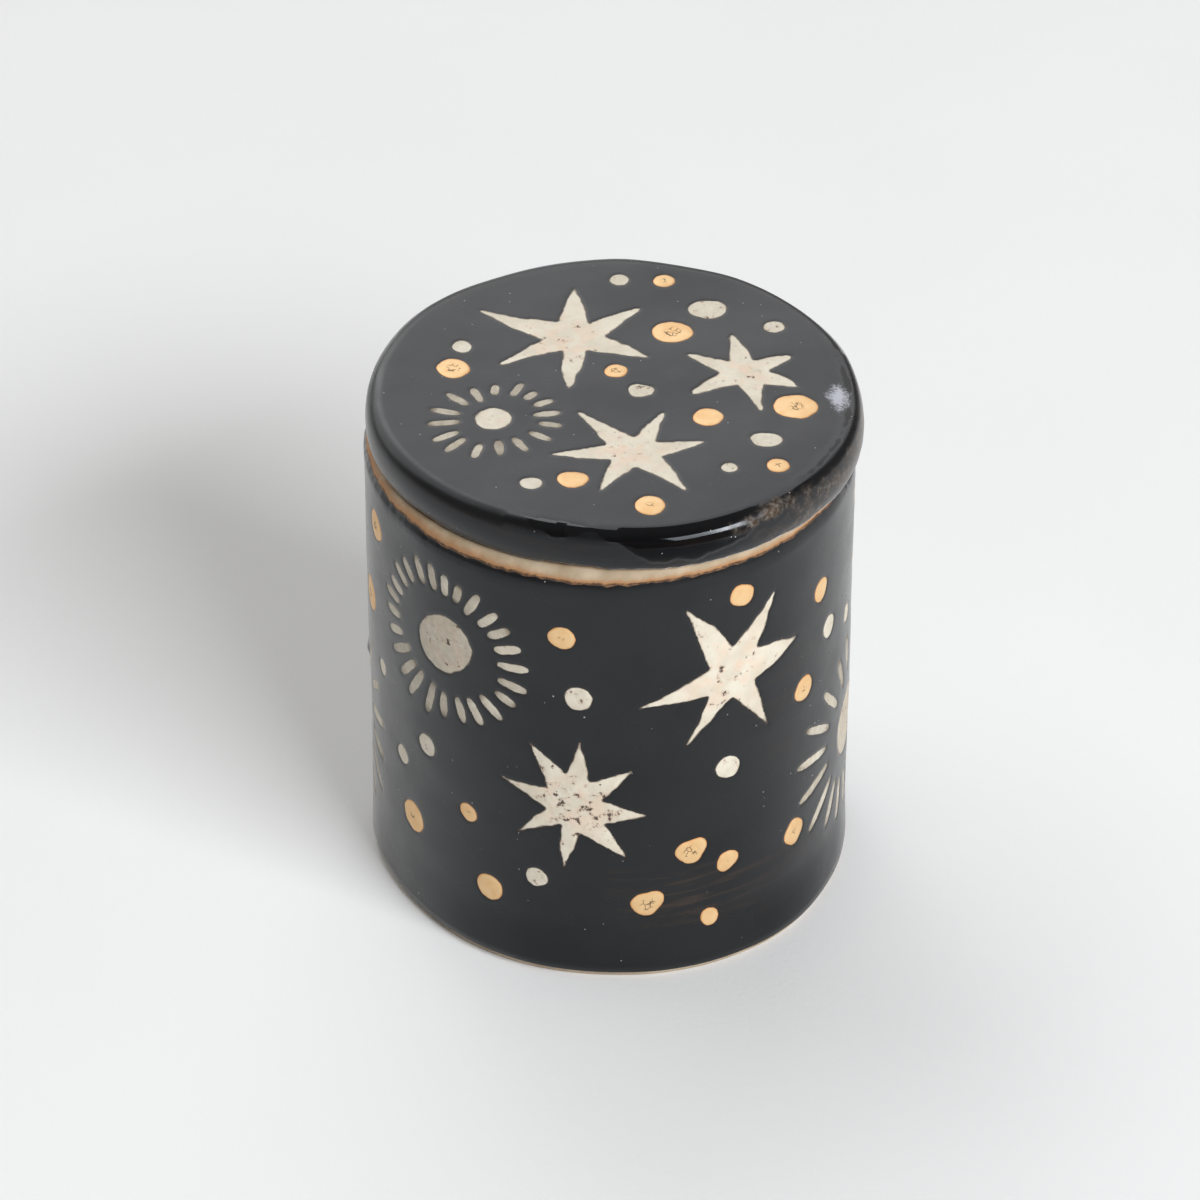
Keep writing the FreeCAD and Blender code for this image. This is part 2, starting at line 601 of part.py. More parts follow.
def make_lid_coats(lid_slab):
    stars = lid_star_windows()
    suns = lid_sun_windows()
    dots = dot_windows("lid_dot", LID_DOT_SHARES, lid_site)
    gold = dot_windows("lid_gold", LID_GOLD_SHARES, lid_site)
    slip = lid_layer("lid_slip_layer", "Sizes.slip_thickness")
    lustre = lid_layer("lid_gold_layer", "Sizes.gold_thickness")
    inlay("lid_star_slip", slip, stars)
    inlay("lid_sun_slip", slip, suns)
    inlay("lid_dot_slip", slip, dots)
    inlay("lid_gold_lustre", lustre, gold)
    low = "(Sizes.lid_foot_round + Sizes.lid_glaze_gap)"
    blank, _, _ = make_lid_blank("lid_glaze_blank", "Sizes.glaze_thickness", low)
    shell = boolean("Part::Cut", "lid_glaze_shell", blank, lid_slab)
    windows = together("lid_windows", stars + suns + dots + gold)
    return node(boolean("Part::Cut", "lid_black_glaze", shell, windows), "lid_black_glaze")


make_base()
make_wall()
make_liner()
make_wall_coats()
slab = make_lid_slab()
make_ring()
make_lid_coats(slab)
document.recompute()

for item in document.Objects:
    assert "Invalid" not in item.State and "Error" not in item.State, f"{item.Label}: {item.State}"
for item in nodes:
    assert not item.Shape.isNull() and item.Shape.isValid(), f"{item.Label} has no valid shape"

os.makedirs("parts", exist_ok=True)
for item in nodes:
    item.Shape.exportStep(os.path.join("parts", f"{item.Label}.step"))
    solids = len(item.Shape.Solids)
    print(f"{item.Label}: {solids} solids, {item.Shape.Volume:.1f} cubic mm")
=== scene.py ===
import math
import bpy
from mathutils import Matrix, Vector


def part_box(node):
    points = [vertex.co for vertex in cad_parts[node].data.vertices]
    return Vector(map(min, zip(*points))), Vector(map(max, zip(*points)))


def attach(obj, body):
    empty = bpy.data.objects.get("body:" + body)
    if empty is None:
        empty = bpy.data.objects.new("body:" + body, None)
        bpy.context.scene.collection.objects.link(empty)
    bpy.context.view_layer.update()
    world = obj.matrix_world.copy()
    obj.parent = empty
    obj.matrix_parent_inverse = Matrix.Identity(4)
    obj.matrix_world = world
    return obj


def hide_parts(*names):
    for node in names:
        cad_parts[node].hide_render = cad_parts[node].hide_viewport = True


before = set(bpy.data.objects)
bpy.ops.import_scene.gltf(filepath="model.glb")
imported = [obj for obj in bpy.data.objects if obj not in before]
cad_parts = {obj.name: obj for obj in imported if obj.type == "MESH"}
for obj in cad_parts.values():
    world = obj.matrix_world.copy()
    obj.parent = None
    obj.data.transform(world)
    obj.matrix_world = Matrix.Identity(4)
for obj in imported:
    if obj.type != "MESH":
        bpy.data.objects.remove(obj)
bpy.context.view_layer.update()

from types import SimpleNamespace

import bpy
import numpy as np
from mathutils import Vector

MM = 0.001
FULL_TURN = 2 * math.pi


# Number helpers


def smooth(share):
    share = np.clip(share, 0, 1)
    return share * share * (3 - 2 * share)


def blend(low, high, share):
    return low + (high - low) * share


def ripple(points, size, seed, waves=14):
    """A smooth random field over points in millimetres, about one in height."""
    dice = np.random.default_rng(seed)
    turns = dice.normal(size=(waves, points.shape[-1]))
    lengths = np.linalg.norm(turns, axis=1, keepdims=True)
    turns *= FULL_TURN / size * dice.uniform(0.6, 1.4, (waves, 1)) / lengths
    starts = dice.uniform(0, FULL_TURN, waves)
    total = np.zeros(points.shape[:-1])
    for turn, start in zip(turns, starts):
        total += np.cos(points @ turn + start)
    return total * math.sqrt(2 / waves)


def ripples(points, *waves):
    """Ripples added up, each given as its height, size and seed."""
    return sum(height * ripple(points, size, seed) for height, size, seed in waves)


def turned(angle, radius, *height):
    """Points round the axis, at angles from the front. They are flat where no height is given."""
    parts = [np.sin(angle) * radius, -np.cos(angle) * radius, *(z + 0 * angle for z in height)]
    return np.stack(parts, -1)


def travelled(points):
    """How far along a line each of its points is."""
    return np.append(0, np.cumsum(np.linalg.norm(np.diff(points, axis=0), axis=1)))


def by_degrees(angle, places, softness=3):
    """A value round the axis, between places given in degrees, smoothed over softness degrees."""
    degrees, values = zip(*places)
    turn = np.arange(360)
    line = np.interp(turn, degrees, values, period=360)
    weights = np.exp(-0.5 * (np.minimum(turn, 360 - turn) / softness) ** 2)
    line = np.real(np.fft.ifft(np.fft.fft(line) * np.fft.fft(weights / weights.sum())))
    return np.interp(np.degrees(angle), turn, line, period=360)


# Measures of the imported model, in millimetres


def corner(name, high, axis):
    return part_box(name)[high][axis] / MM


CLAY_RADIUS = corner("pot_wall_slab", 1, 0)
POT_HEIGHT = corner("pot_wall_slab", 1, 2)
INSIDE_RADIUS = corner("pot_liner_glaze", 1, 0) - 0.1
BASE_HEIGHT = corner("pot_base_slab", 1, 2)
GLAZE = corner("wall_black_glaze", 1, 0) - CLAY_RADIUS
SLIP = corner("wall_star_slip", 1, 1) - CLAY_RADIUS
LID_LOW = corner("lid_slab", 0, 2)
LID_HIGH = corner("lid_slab", 1, 2)
LID_WIDEST = (corner("lid_slab", 1, 0) - corner("lid_slab", 0, 0)) / 2
LID_CENTRE = (corner("lid_slab", 1, 0) + corner("lid_slab", 0, 0)) / 2
FLAT_RADIUS = CLAY_RADIUS + SLIP
FOOT_ROUND = 0.8
RIM_ROUND = 1.3
RIM_INNER_ROUND = 1.0
LID_BULGE = 0.7
LID_CORNER_SOFTNESS = 0.46
PROFILE_STEP = 0.05


# Surfaces of the pot's outside and of the lid, as they came off the hand


def sum_of_turns(angle, parts):
    """A closed outline's waver: how high, how many times round, and where it starts, in degrees."""
    return sum(high * np.cos(times * (angle - math.radians(start))) for high, times, start in parts)


POT_WAVER = ((0.16, 2, 35), (0.12, 3, 10), (0.08, 5, 50))
LID_WAVER = ((0.22, 2, 60), (0.20, 3, 35), (0.12, 4, 10), (0.08, 7, 20))
# Over how many millimetres of height the waver turns by a radian
POT_TWIST = 160
POT_LEAN = -0.0045
POT_LEAN_START = -0.15
# How far the foot spreads and the lid's outline strays, in millimetres at each place in degrees
FOOT_SPREAD = (
    (-180, 0.25), (-90, 0.2), (-60, 0.2), (-45, 0.35), (-35, 0.6), (-20, 1.1), (0, 1.25), (12, 1.6),
    (25, 1.8), (36, 1.7), (46, 1.35), (60, 0.75), (90, 0.2),
)
FOOT_SPREAD_HEIGHT = 9.0
LID_OUTLINE = (
    (-180, 0.1), (-170, 0.0), (-160, 0.5), (-150, 0.35), (-140, 0.75), (-130, 0.9), (-120, 0.7),
    (-110, 0.3), (-100, 0.1), (-90, -0.2), (-60, 0.0), (60, 0.0), (80, -0.4), (90, -0.6),
    (100, -0.7), (110, -0.6), (120, -0.7), (130, -0.4), (140, 0.15), (150, 0.55), (160, -0.15),
    (170, -0.5),
)


def wall_profile(along):
    """Radius, height and outward direction on the wall, along its upright outline from the foot."""
    foot = np.clip((FOOT_ROUND - along) / FOOT_ROUND, 0, None)
    rim = np.clip((along - (POT_HEIGHT - RIM_ROUND)) / RIM_ROUND, 0, None)
    radius = CLAY_RADIUS - FOOT_ROUND * (1 - np.cos(foot)) - RIM_ROUND * (1 - np.cos(rim))
    middle = np.clip(along, FOOT_ROUND, POT_HEIGHT - RIM_ROUND)
    height = middle - FOOT_ROUND * np.sin(foot) + RIM_ROUND * np.sin(rim)
    return radius, height, np.cos(foot) * np.cos(rim), np.sin(rim) - np.sin(foot)


def wall_place(angle, along, out):
    """A point on the pot's outside, so far out from the clay."""
    radius, height, outward, upward = wall_profile(along)
    straight = turned(angle, CLAY_RADIUS, height)
    waver = sum_of_turns(angle + height / POT_TWIST, POT_WAVER)
    waver = waver + ripples(straight, (0.07, 26, 1), (0.02, 9, 2))
    waver = waver + by_degrees(angle, FOOT_SPREAD) * smooth(1 - height / FOOT_SPREAD_HEIGHT)
    points = turned(angle, radius + outward * out + waver, height + upward * out)
    points[..., 0] += POT_LEAN_START + POT_LEAN * height
    return points


def make_lid_profile():
    """The lid's clay outline, evenly spaced: from the middle, over the edge, to the underside."""
    half = (LID_HIGH - LID_LOW) / 2
    bulge_radius = (half**2 + LID_BULGE**2) / (2 * LID_BULGE)
    heights = np.linspace(half, -half, 40)
    across = LID_WIDEST - bulge_radius + np.sqrt(bulge_radius**2 - heights**2)
    points = np.column_stack((across, heights + half + LID_LOW))
    edge = across[0]
    points = np.vstack(([-6.0, LID_HIGH], [0.0, LID_HIGH], points, [edge - 6.0, LID_LOW]))
    along = travelled(points)
    even = np.arange(0, along[-1], PROFILE_STEP)
    line = np.column_stack([np.interp(even, along, points[:, k]) for k in (0, 1)])
    reach = int(4 * LID_CORNER_SOFTNESS / PROFILE_STEP)
    offsets = np.arange(-reach, reach + 1) * PROFILE_STEP
    weights = np.exp(-0.5 * (offsets / LID_CORNER_SOFTNESS) ** 2)
    weights /= weights.sum()
    soft = np.column_stack(
        [np.convolve(np.pad(line[:, k], reach, "edge"), weights, "valid") for k in (0, 1)]
    )
    low = soft[:, 1] < LID_LOW + 0.5
    soft[low, 1] = line[low, 1] + (soft[low, 1] - line[low, 1]) * 0.6
    start = np.searchsorted(soft[:, 0], 0.0)
    soft = soft[start:]
    soft[0, 0] = 0.0
    return travelled(soft), soft


LID_ALONG, LID_LINE = make_lid_profile()
LID_SLOPE = np.gradient(LID_LINE, axis=0)
LID_SLOPE /= np.linalg.norm(LID_SLOPE, axis=1, keepdims=True)
LID_EDGE = LID_WIDEST - LID_BULGE - 1.2


def lid_place(angle, along, out):
    """A point on the lid's outside, so far out from the clay."""
    radius = np.interp(along, LID_ALONG, LID_LINE[:, 0])
    height = np.interp(along, LID_ALONG, LID_LINE[:, 1])
    outward = -np.interp(along, LID_ALONG, LID_SLOPE[:, 1])
    upward = np.interp(along, LID_ALONG, LID_SLOPE[:, 0])
    share = radius / LID_WIDEST
    stray = sum_of_turns(angle, LID_WAVER) + by_degrees(angle, LID_OUTLINE)
    reach = radius + outward * out + stray * share**4
    swell = ripples(turned(angle, reach), (0.08, 30, 3), (0.01, 9, 4))
    swell = swell * smooth((height - LID_LOW) / 4)
    points = turned(angle, reach, height + upward * out + swell)
    points[..., 0] += LID_CENTRE
    return points


# Meshes


def added(name, data):
    """A new object in the scene."""
    piece = bpy.data.objects.new(name, data)
    bpy.context.scene.collection.objects.link(piece)
    return piece


def finish_mesh(name, points, faces, attributes, matter):
    mesh = bpy.data.meshes.new(name)
    mesh.from_pydata((points * MM).tolist(), [], faces)
    mesh.validate()
    for key, values in attributes.items():
        layer = mesh.attributes.new(key, "FLOAT", "POINT")
        layer.data.foreach_set("value", np.asarray(values, np.float32))
    mesh.shade_smooth()
    mesh.materials.append(matter)
    return added(name, mesh)


def net_faces(keep, refine, step, joined_ends=False, low_pole=False, high_pole=False):
    """Faces over a net of cells round a turned surface. A cell is one face, or step times step
    small ones where refine says so. A whole cell takes in the small corners on its shared sides."""
    across, along = keep.shape
    fine_across, fine_along = across * step, along * step
    refine = refine & keep

    def key(i, j):
        j = j % fine_along if joined_ends else j
        i = i % fine_across
        if low_pole:
            i = np.where(j == 0, 0, i)
        if high_pole:
            i = np.where(j == fine_along, 0, i)
        return j * fine_across + i

    faces = []
    ci, cj = np.nonzero(refine)
    a, b = (part.ravel() for part in np.meshgrid(np.arange(step), np.arange(step)))
    i = (ci[:, None] * step + a).ravel()
    j = (cj[:, None] * step + b).ravel()
    quads = np.column_stack([key(i, j), key(i + 1, j), key(i + 1, j + 1), key(i, j + 1)])
    faces += quads.tolist()

    def fine_next(i, j):
        if joined_ends:
            j %= along
        elif not 0 <= j < along:
            return False
        return refine[i % across, j]

    for i, j in zip(*np.nonzero(keep & ~refine)):
        x, y, ring = int(i) * step, int(j) * step, []
        for a, b in ((1, 0), (0, 1), (-1, 0), (0, -1)):
            part = 1 if fine_next(i + b, j - a) else step
            ring += [(x + a * k, y + b * k) for k in range(0, step, part)]
            x, y = x + a * step, y + b * step
        ids = key(np.array([p[0] for p in ring]), np.array([p[1] for p in ring]))
        faces.append(ids.tolist())
    if low_pole or high_pole:
        faces = [[p for k, p in enumerate(face) if p != face[k - 1]] for face in faces]
    used, packed = np.unique(np.concatenate(faces), return_inverse=True)
    out, start = [], 0
    for face in faces:
        out.append(packed[start:start + len(face)].tolist())
        start += len(face)
    return out, used % fine_across, used // fine_across


def close_below(faces, count):
    """The faces, the same turned over with point numbers raised by count, and sides between."""
    sides = set()
    for face in faces:
        sides.update(zip(face, face[1:] + face[:1]))
    edges = [pair for pair in sides if (pair[1], pair[0]) not in sides]
    under = [[p + count for p in reversed(face)] for face in faces]
    walls = [[b, a, a + count, b + count] for a, b in sorted(edges)]
    return faces + under + walls


def loft(name, rows, closed=False):
    """A turned piece of clay through rows of points, each row with how toasted it is. A row of one
    point is a pole."""
    rows, toasts = [np.atleast_2d(row) for row, _ in rows], [toast for _, toast in rows]
    starts = np.cumsum([0] + [len(row) for row in rows]).tolist()
    pairs = list(zip(range(len(rows)), range(1, len(rows))))
    if closed:
        pairs.append((len(rows) - 1, 0))
    faces = []
    for pair in pairs:
        n = max(len(rows[row]) for row in pair)
        for i in range(n):
            a, d = (starts[row] + (i if len(rows[row]) == n else 0) for row in pair)
            b, c = (starts[row] + ((i + 1) % n if len(rows[row]) == n else 0) for row in pair)
            face = [a, b, c, d]
            faces.append([p for k, p in enumerate(face) if p != face[k - 1]])
    toast = [np.broadcast_to(toast, len(row)) for row, toast in zip(rows, toasts)]
    return finish_mesh(name, np.vstack(rows), faces, {"toast": np.concatenate(toast)}, CLAY_LOOK)


# Ornament outlines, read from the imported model's own inlays and drawn as a brush would


def outlines_of(name, height_over_clay, flatten):
    """Each outward face's outline as a loop of flattened points, in millimetres."""
    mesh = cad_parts[name].data
    places = np.empty(len(mesh.vertices) * 3, np.float32)
    mesh.vertices.foreach_get("co", places)
    places = places.reshape(-1, 3).astype(float) / MM
    numbers = {}
    merged = [numbers.setdefault(tuple(np.round(place, 3)), len(numbers)) for place in places]
    corners = np.array(list(numbers))
    heights = height_over_clay(corners)
    high = heights > 0.6 * heights.max()
    sides = set()
    for face in mesh.polygons:
        ids = [merged[i] for i in face.vertices]
        if all(high[i] for i in ids):
            sides.update(zip(ids, ids[1:] + ids[:1]))
    following = {a: b for a, b in sides if (b, a) not in sides}
    loops = []
    while following:
        start, here = following.popitem()
        loop = [start]
        while here != start:
            loop.append(here)
            here = following.pop(here)
        loops.append(flatten(corners[loop]))
    loops.sort(key=lambda loop: (round(loop[:, 0].mean(), 2), round(loop[:, 1].mean(), 2)))
    return loops


def over_wall(corners):
    return np.hypot(corners[:, 0], corners[:, 1]) - CLAY_RADIUS


def over_lid(corners):
    return corners[:, 2] - LID_HIGH


def flatten_wall(corners):
    angle = np.arctan2(corners[:, 0], -corners[:, 1])
    angle = angle[0] + (angle - angle[0] + math.pi) % FULL_TURN - math.pi
    return np.column_stack((angle * FLAT_RADIUS, corners[:, 2]))


def flatten_lid(corners):
    return np.column_stack((corners[:, 0] - LID_CENTRE, corners[:, 1]))


def soften(loop, cut):
    """Round a loop's corners by cutting each off at its own distance, and then what is left."""
    for _ in range(2):
        back = np.roll(loop, 1, 0) - loop
        ahead = np.roll(loop, -1, 0) - loop
        back_share = np.minimum(cut / np.linalg.norm(back, axis=1), 0.4)[:, None]
        ahead_share = np.minimum(cut / np.linalg.norm(ahead, axis=1), 0.4)[:, None]
        loop = np.stack((loop + back * back_share, loop + ahead * ahead_share), 1).reshape(-1, 2)
        cut = np.repeat(cut, 2) * 0.45
    return loop


def brush_star(loop, dice):
    """A star as a brush leaves it: each tip blunt in its own way, and as long as in the model."""
    away = loop - middle_of(loop)
    reach, tips = np.linalg.norm(away, axis=1), tips_of(loop)
    cut = np.where(tips, dice.uniform(*TIP_CUT, len(loop)), STAR_CUT)
    loop = loop + away / reach[:, None] * (tips * cut * TIP_PUSH)[:, None]
    return soften(loop, cut)


def distance_to(points, loop):
    """Distance of points from a loop, negative inside."""
    ends = np.roll(loop, -1, 0)
    sides = ends - loop
    lengths = np.maximum((sides**2).sum(1), 1e-12)
    nearest = np.full(len(points), 1e9)
    inside = np.zeros(len(points), bool)
    for start, end, side, length in zip(loop, ends, sides, lengths):
        away = points - start
        share = np.clip(away @ side / length, 0, 1)
        gap = away - share[:, None] * side
        nearest = np.minimum(nearest, (gap**2).sum(1))
        if start[1] != end[1]:
            crosses = (start[1] > points[:, 1]) != (end[1] > points[:, 1])
            at = start[0] + (points[:, 1] - start[1]) / (end[1] - start[1]) * side[0]
            inside ^= crosses & (points[:, 0] < at)
    return np.where(inside, -1, 1) * np.sqrt(nearest)


# Dots with a shape of their own: whose surface, across, along, then stretch, its direction in
# degrees, lobes, their height as a share of the radius, and where they start
DOT_HABITS = (
    ("lid", 24.3, -3.9, 0.04, 0, 5, 0.028, 0),
    ("lid", 12.6, 20.6, 0.10, 0, 3, 0.03, 40),
    ("lid", 3.2, 0.1, 0.10, 0, 3, 0.08, 0),
    ("lid", 7.6, 14.7, 0.03, 0, 3, 0.02, 0),
    ("lid", 20.0, -12.3, 0.10, -10, 3, 0.03, 20),
    ("wall", 11.3, 20.4, 0.06, 25, 3, 0.09, 40),
    ("wall", 5.2, 12.3, 0.08, 30, 3, 0.08, 35),
    ("wall", 16.8, 16.9, 0.08, 50, 3, 0.04, 0),
    ("wall", -6.3, 57.8, 0.02, 0, 3, 0.03, 60),
)
# How near an ornament lies to where a table lists it
LISTED_REACH = 2.0


def middle_of(loop):
    return (loop.min(0) + loop.max(0)) / 2


def listed(table, surface, centre):
    """What a table says of an ornament, or None where it doesn't list it."""
    for on, across, along, *says in table:
        if on == surface and math.hypot(centre[0] - across, centre[1] - along) < LISTED_REACH:
            return says


def draw_dot(loop, surface, dice):
    """The touch of a brush where the model has a round dot."""
    centre = middle_of(loop)
    radius = np.ptp(loop, axis=0).mean() / 2
    stretch, lean = dice.uniform(0.0, 0.07), dice.uniform(0, 180)
    lobes, lobe, start = dice.integers(2, 5), dice.uniform(0.01, 0.035), dice.uniform(0, 360)
    habit = listed(DOT_HABITS, surface, centre)
    if habit:
        stretch, lean, lobes, lobe, start = habit
    angle = np.linspace(0, FULL_TURN, 56, endpoint=False)
    reach = radius * (
        1
        + stretch * np.cos(2 * (angle - math.radians(lean)))
        + lobe * np.cos(lobes * (angle - math.radians(start)))
    )
    return centre + reach[:, None] * np.column_stack((np.cos(angle), np.sin(angle)))


FAR = 9.0
STAR_CUT = 0.24
TIP_CUT = (0.7, 1.7)
TIP_PUSH = 0.8
RAY_MARGIN = 3.2
STROKE_POWER = 2.5
STROKE_GROWTH = (1.05, 1.25)
# How steady each kind's outline is
CALM = {"star": 0.85, "ray": 0.5, "dot": 0.6, "disc": 0.8, "gold": 0.8}


def stroke(points, shape):
    """How far points are from a brush stroke as long and wide as a ray, and how far along it."""
    middle = shape.mean(0)
    _, _, turns = np.linalg.svd(shape - middle, full_matrices=False)
    span = (shape - middle) @ turns.T
    half = np.ptp(span, axis=0) / 2 * STROKE_GROWTH
    place = np.abs((points - middle) @ turns.T - (span.max(0) + span.min(0)) / 2) / half
    level = np.maximum((place**STROKE_POWER).sum(1), 1e-6) ** (1 / STROKE_POWER)
    slope = (place / level[:, None]) ** (STROKE_POWER - 1) / half
    return (level - 1) / np.linalg.norm(slope, axis=1), place[:, 0]


# How high and wide the stained or cracked middle of each kind is, as a share of its reach
CORES = {"star": (1.0, 0.45), "disc": (0.8, 0.9), "gold": (1.0, 0.42)}


class Field:
    """Distances to the nearest outline over a net of points, and what the nearest ornament says."""

    def __init__(self, across, along, around=None):
        self.across, self.along, self.around = across, along, around
        self.edge = np.full(across.shape, FAR)
        self.calm = np.ones(across.shape)
        self.core, self.veil, self.marks = (np.zeros(across.shape) for _ in range(3))

    def draw(self, loop, kind, veil, stained, dice, strength=1.0):
        centre = middle_of(loop)
        half = np.ptp(loop, axis=0) / 2 + RAY_MARGIN
        across = self.across - centre[0]
        if self.around:
            across = (across + self.around / 2) % self.around - self.around / 2
        along = self.along - centre[1]
        near = (np.abs(across) < half[0]) & (np.abs(along) < half[1])
        points = np.column_stack((across[near], along[near]))
        shape = loop - centre
        if kind == "ray":
            away, up_ray = stroke(points, shape)
            fading = dice.uniform(0.1, 0.5) * smooth((np.abs(up_ray) - 0.45) / 0.6)
            veil = veil + 0.07 * dice.normal() + fading
        else:
            away = distance_to(points, shape)
        from_centre = np.linalg.norm(points, axis=1) / np.linalg.norm(shape, axis=1).max()
        high, wide = CORES.get(kind, (0.0, 1.0))
        core = strength * high * np.exp(-((from_centre / wide) ** 2))
        nearer = away < self.edge[near]
        calm = CALM.get(kind, 1)
        says = {"edge": away, "core": core, "veil": veil, "calm": calm, "marks": stained}
        for key, values in says.items():
            kept = getattr(self, key)
            kept[near] = np.where(nearer, values, kept[near])


def tips_of(loop):
    """Which corners of a star's outline are its points."""
    away = np.linalg.norm(loop - middle_of(loop), axis=1)
    return (away > np.roll(away, 1)) & (away >= np.roll(away, -1))


def kind_of(node_name, loop):
    if "star" in node_name:
        return "star"
    spread = np.linalg.svd(loop - loop.mean(0), compute_uv=False)
    if "sun" in node_name:
        return "ray" if spread[0] > 1.8 * spread[1] else "disc"
    return "dot"


# How much of the black still veils the slip
VEILS = {
    ("wall", "star"): 0.0, ("wall", "disc"): 0.31, ("wall", "ray"): 0.34, ("wall", "dot"): 0.06,
    ("lid", "star"): 0.05, ("lid", "disc"): 0.14, ("lid", "ray"): 0.48, ("lid", "dot"): 0.18,
}
# How stained the slip is; the wall's stars of more than six points are most so
STAINS = {
    ("wall", "star"): 0.15, ("wall", "disc"): 0.3, ("wall", "ray"): 0.15, ("wall", "dot"): 0.1,
    ("lid", "star"): 0.08, ("lid", "disc"): 0.05, ("lid", "ray"): 0.1, ("lid", "dot"): 0.1,
}
# Gold dots crackled at their middle: whose surface, across, along
CRACKLED = (
    ("lid", 7.6, 14.7), ("lid", -22.5, 5.3), ("lid", -0.2, 4.8), ("lid", 20.0, -12.3),
    ("wall", 5.2, 12.3), ("wall", 11.3, 20.4),
)


def crackle_of(loop, surface, dice):
    strength = dice.uniform(0.0, 0.75)
    return strength if listed(CRACKLED, surface, middle_of(loop)) is None else 1.0


def read_field(node_name, surface):
    """The field of one inlay node over a surface's net."""
    field = Field(*surface.net)
    for number, loop in enumerate(outlines_of(node_name, surface.over, surface.flatten)):
        dice = np.random.default_rng(1000 + number)
        kind = kind_of(node_name, loop)
        veil, stained = VEILS[surface.name, kind], STAINS[surface.name, kind]
        if kind == "star":
            stained = 1.0 if surface is WALL and tips_of(loop).sum() > 6 else stained
            loop = brush_star(loop, dice)
        elif kind != "ray":
            loop = draw_dot(loop, surface.name, dice)
        if "gold" in node_name:
            field.draw(loop, "gold", 0.0, 0.0, dice, crackle_of(loop, surface.name, dice))
        else:
            stained = stained * dice.uniform(0, 5) if kind == "dot" else stained
            field.draw(loop, kind, veil, stained, dice)
    return field


# The two nets: the wall's runs round and up, the lid's round and out from its middle

STEP = 4
WALL_CELLS = (216, 66)
WALL_LOW, WALL_HIGH = 0.1, 68.5
LID_CELLS = (200, 38)
LID_NET_LOW = 0.14
LID_NET_END = LID_ALONG[np.nonzero(LID_LINE[:, 1] > LID_LOW + LID_NET_LOW)[0].max()]

wall_angles = np.linspace(0, FULL_TURN, WALL_CELLS[0] * STEP, endpoint=False)
wall_alongs = np.linspace(WALL_LOW, WALL_HIGH, WALL_CELLS[1] * STEP + 1)
lid_angles = np.linspace(0, FULL_TURN, LID_CELLS[0] * STEP, endpoint=False)
lid_alongs = np.linspace(0, LID_NET_END, LID_CELLS[1] * STEP + 1)

WALL_A, WALL_V = np.meshgrid(wall_angles, wall_alongs, indexing="ij")
LID_A, LID_V = np.meshgrid(lid_angles, lid_alongs, indexing="ij")
LID_R = np.interp(LID_V, LID_ALONG, LID_LINE[:, 0])
WALL_XYZ = turned(WALL_A, FLAT_RADIUS, WALL_V)
LID_XYZ = turned(LID_A, LID_R, np.interp(LID_V, LID_ALONG, LID_LINE[:, 1]))

WALL = SimpleNamespace(
    name="wall", body="pot", place=wall_place, over=over_wall, flatten=flatten_wall,
    cells=WALL_CELLS, angles=wall_angles, alongs=wall_alongs, xyz=WALL_XYZ,
    net=(WALL_A * FLAT_RADIUS, WALL_V, FULL_TURN * FLAT_RADIUS),
)
LID = SimpleNamespace(
    name="lid", body="lid", place=lid_place, over=over_lid, flatten=flatten_lid,
    cells=LID_CELLS, angles=lid_angles, alongs=lid_alongs, xyz=LID_XYZ,
    net=(LID_XYZ[..., 0], LID_XYZ[..., 1]),
)


def cells_where(mask, cells):
    """Cells of a net that hold at least one marked point."""
    across, along = cells
    rows = mask[:, : along * STEP].reshape(across, STEP, along, STEP).any((1, 3))
    edges = mask[:, STEP::STEP][:, :along].reshape(across, STEP, along).any(1)
    return rows | edges | np.roll(rows, 1, 0)


INLAYS = (
    ("wall_star_slip", "wall_stars", WALL, "slip"),
    ("wall_sun_slip", "wall_suns", WALL, "slip"),
    ("wall_dot_slip", "wall_dots", WALL, "slip"),
    ("wall_gold_lustre", "wall_gold", WALL, "gold"),
    ("lid_star_slip", "lid_stars", LID, "slip"),
    ("lid_sun_slip", "lid_suns", LID, "slip"),
    ("lid_dot_slip", "lid_dots", LID, "slip"),
    ("lid_gold_lustre", "lid_gold", LID, "gold"),
)
WAVER = {"slip": 0.07, "gold": 0.04}
# Heights over the clay: the black's under the slip and the gold, then theirs at the edge and in the
# middle, how far in they reach that, and how steeply they dive under the black
GLAZE_FLOOR = 0.31
GOLD_FLOOR = 0.32
SLIP_EDGE, SLIP_CROWN, SLIP_SHOULDER, SLIP_DIVE = 0.342, 0.375, 0.7, 0.35
GOLD_EDGE, GOLD_CROWN, GOLD_SHOULDER, GOLD_DIVE = 0.348, 0.11, 0.45, 0.5
# Where the black's step begins inside an outline, how wide it is, and its middle
STEP_LOW, STEP_WIDTH, STEP_MIDDLE = 0.30, 0.75, 0.07
# How far a patch reaches under the black, how deep its underside lies, and how thin it may be
PATCH_MARGIN = 0.5
UNDER = -0.3
THINNEST = 0.1


def step_up(edge):
    """How far the black has risen at a distance from an ornament's outline."""
    return smooth((edge + STEP_LOW) / STEP_WIDTH)


def slip_height(edge, xyz):
    grain = ripples(xyz, (0.012, 1.7, 21), (0.008, 0.9, 22))
    crown = blend(SLIP_EDGE, SLIP_CROWN, smooth(-edge / SLIP_SHOULDER))
    return crown + grain * smooth(-edge / 0.3) - SLIP_DIVE * np.clip(edge, 0, None)


def gold_height(edge, xyz):
    crown = GOLD_CROWN * (1 - np.exp(np.minimum(edge, 0) / GOLD_SHOULDER))
    return GOLD_EDGE + crown + 0.006 * ripple(xyz, 1.5, 23) - GOLD_DIVE * np.clip(edge, 0, None)


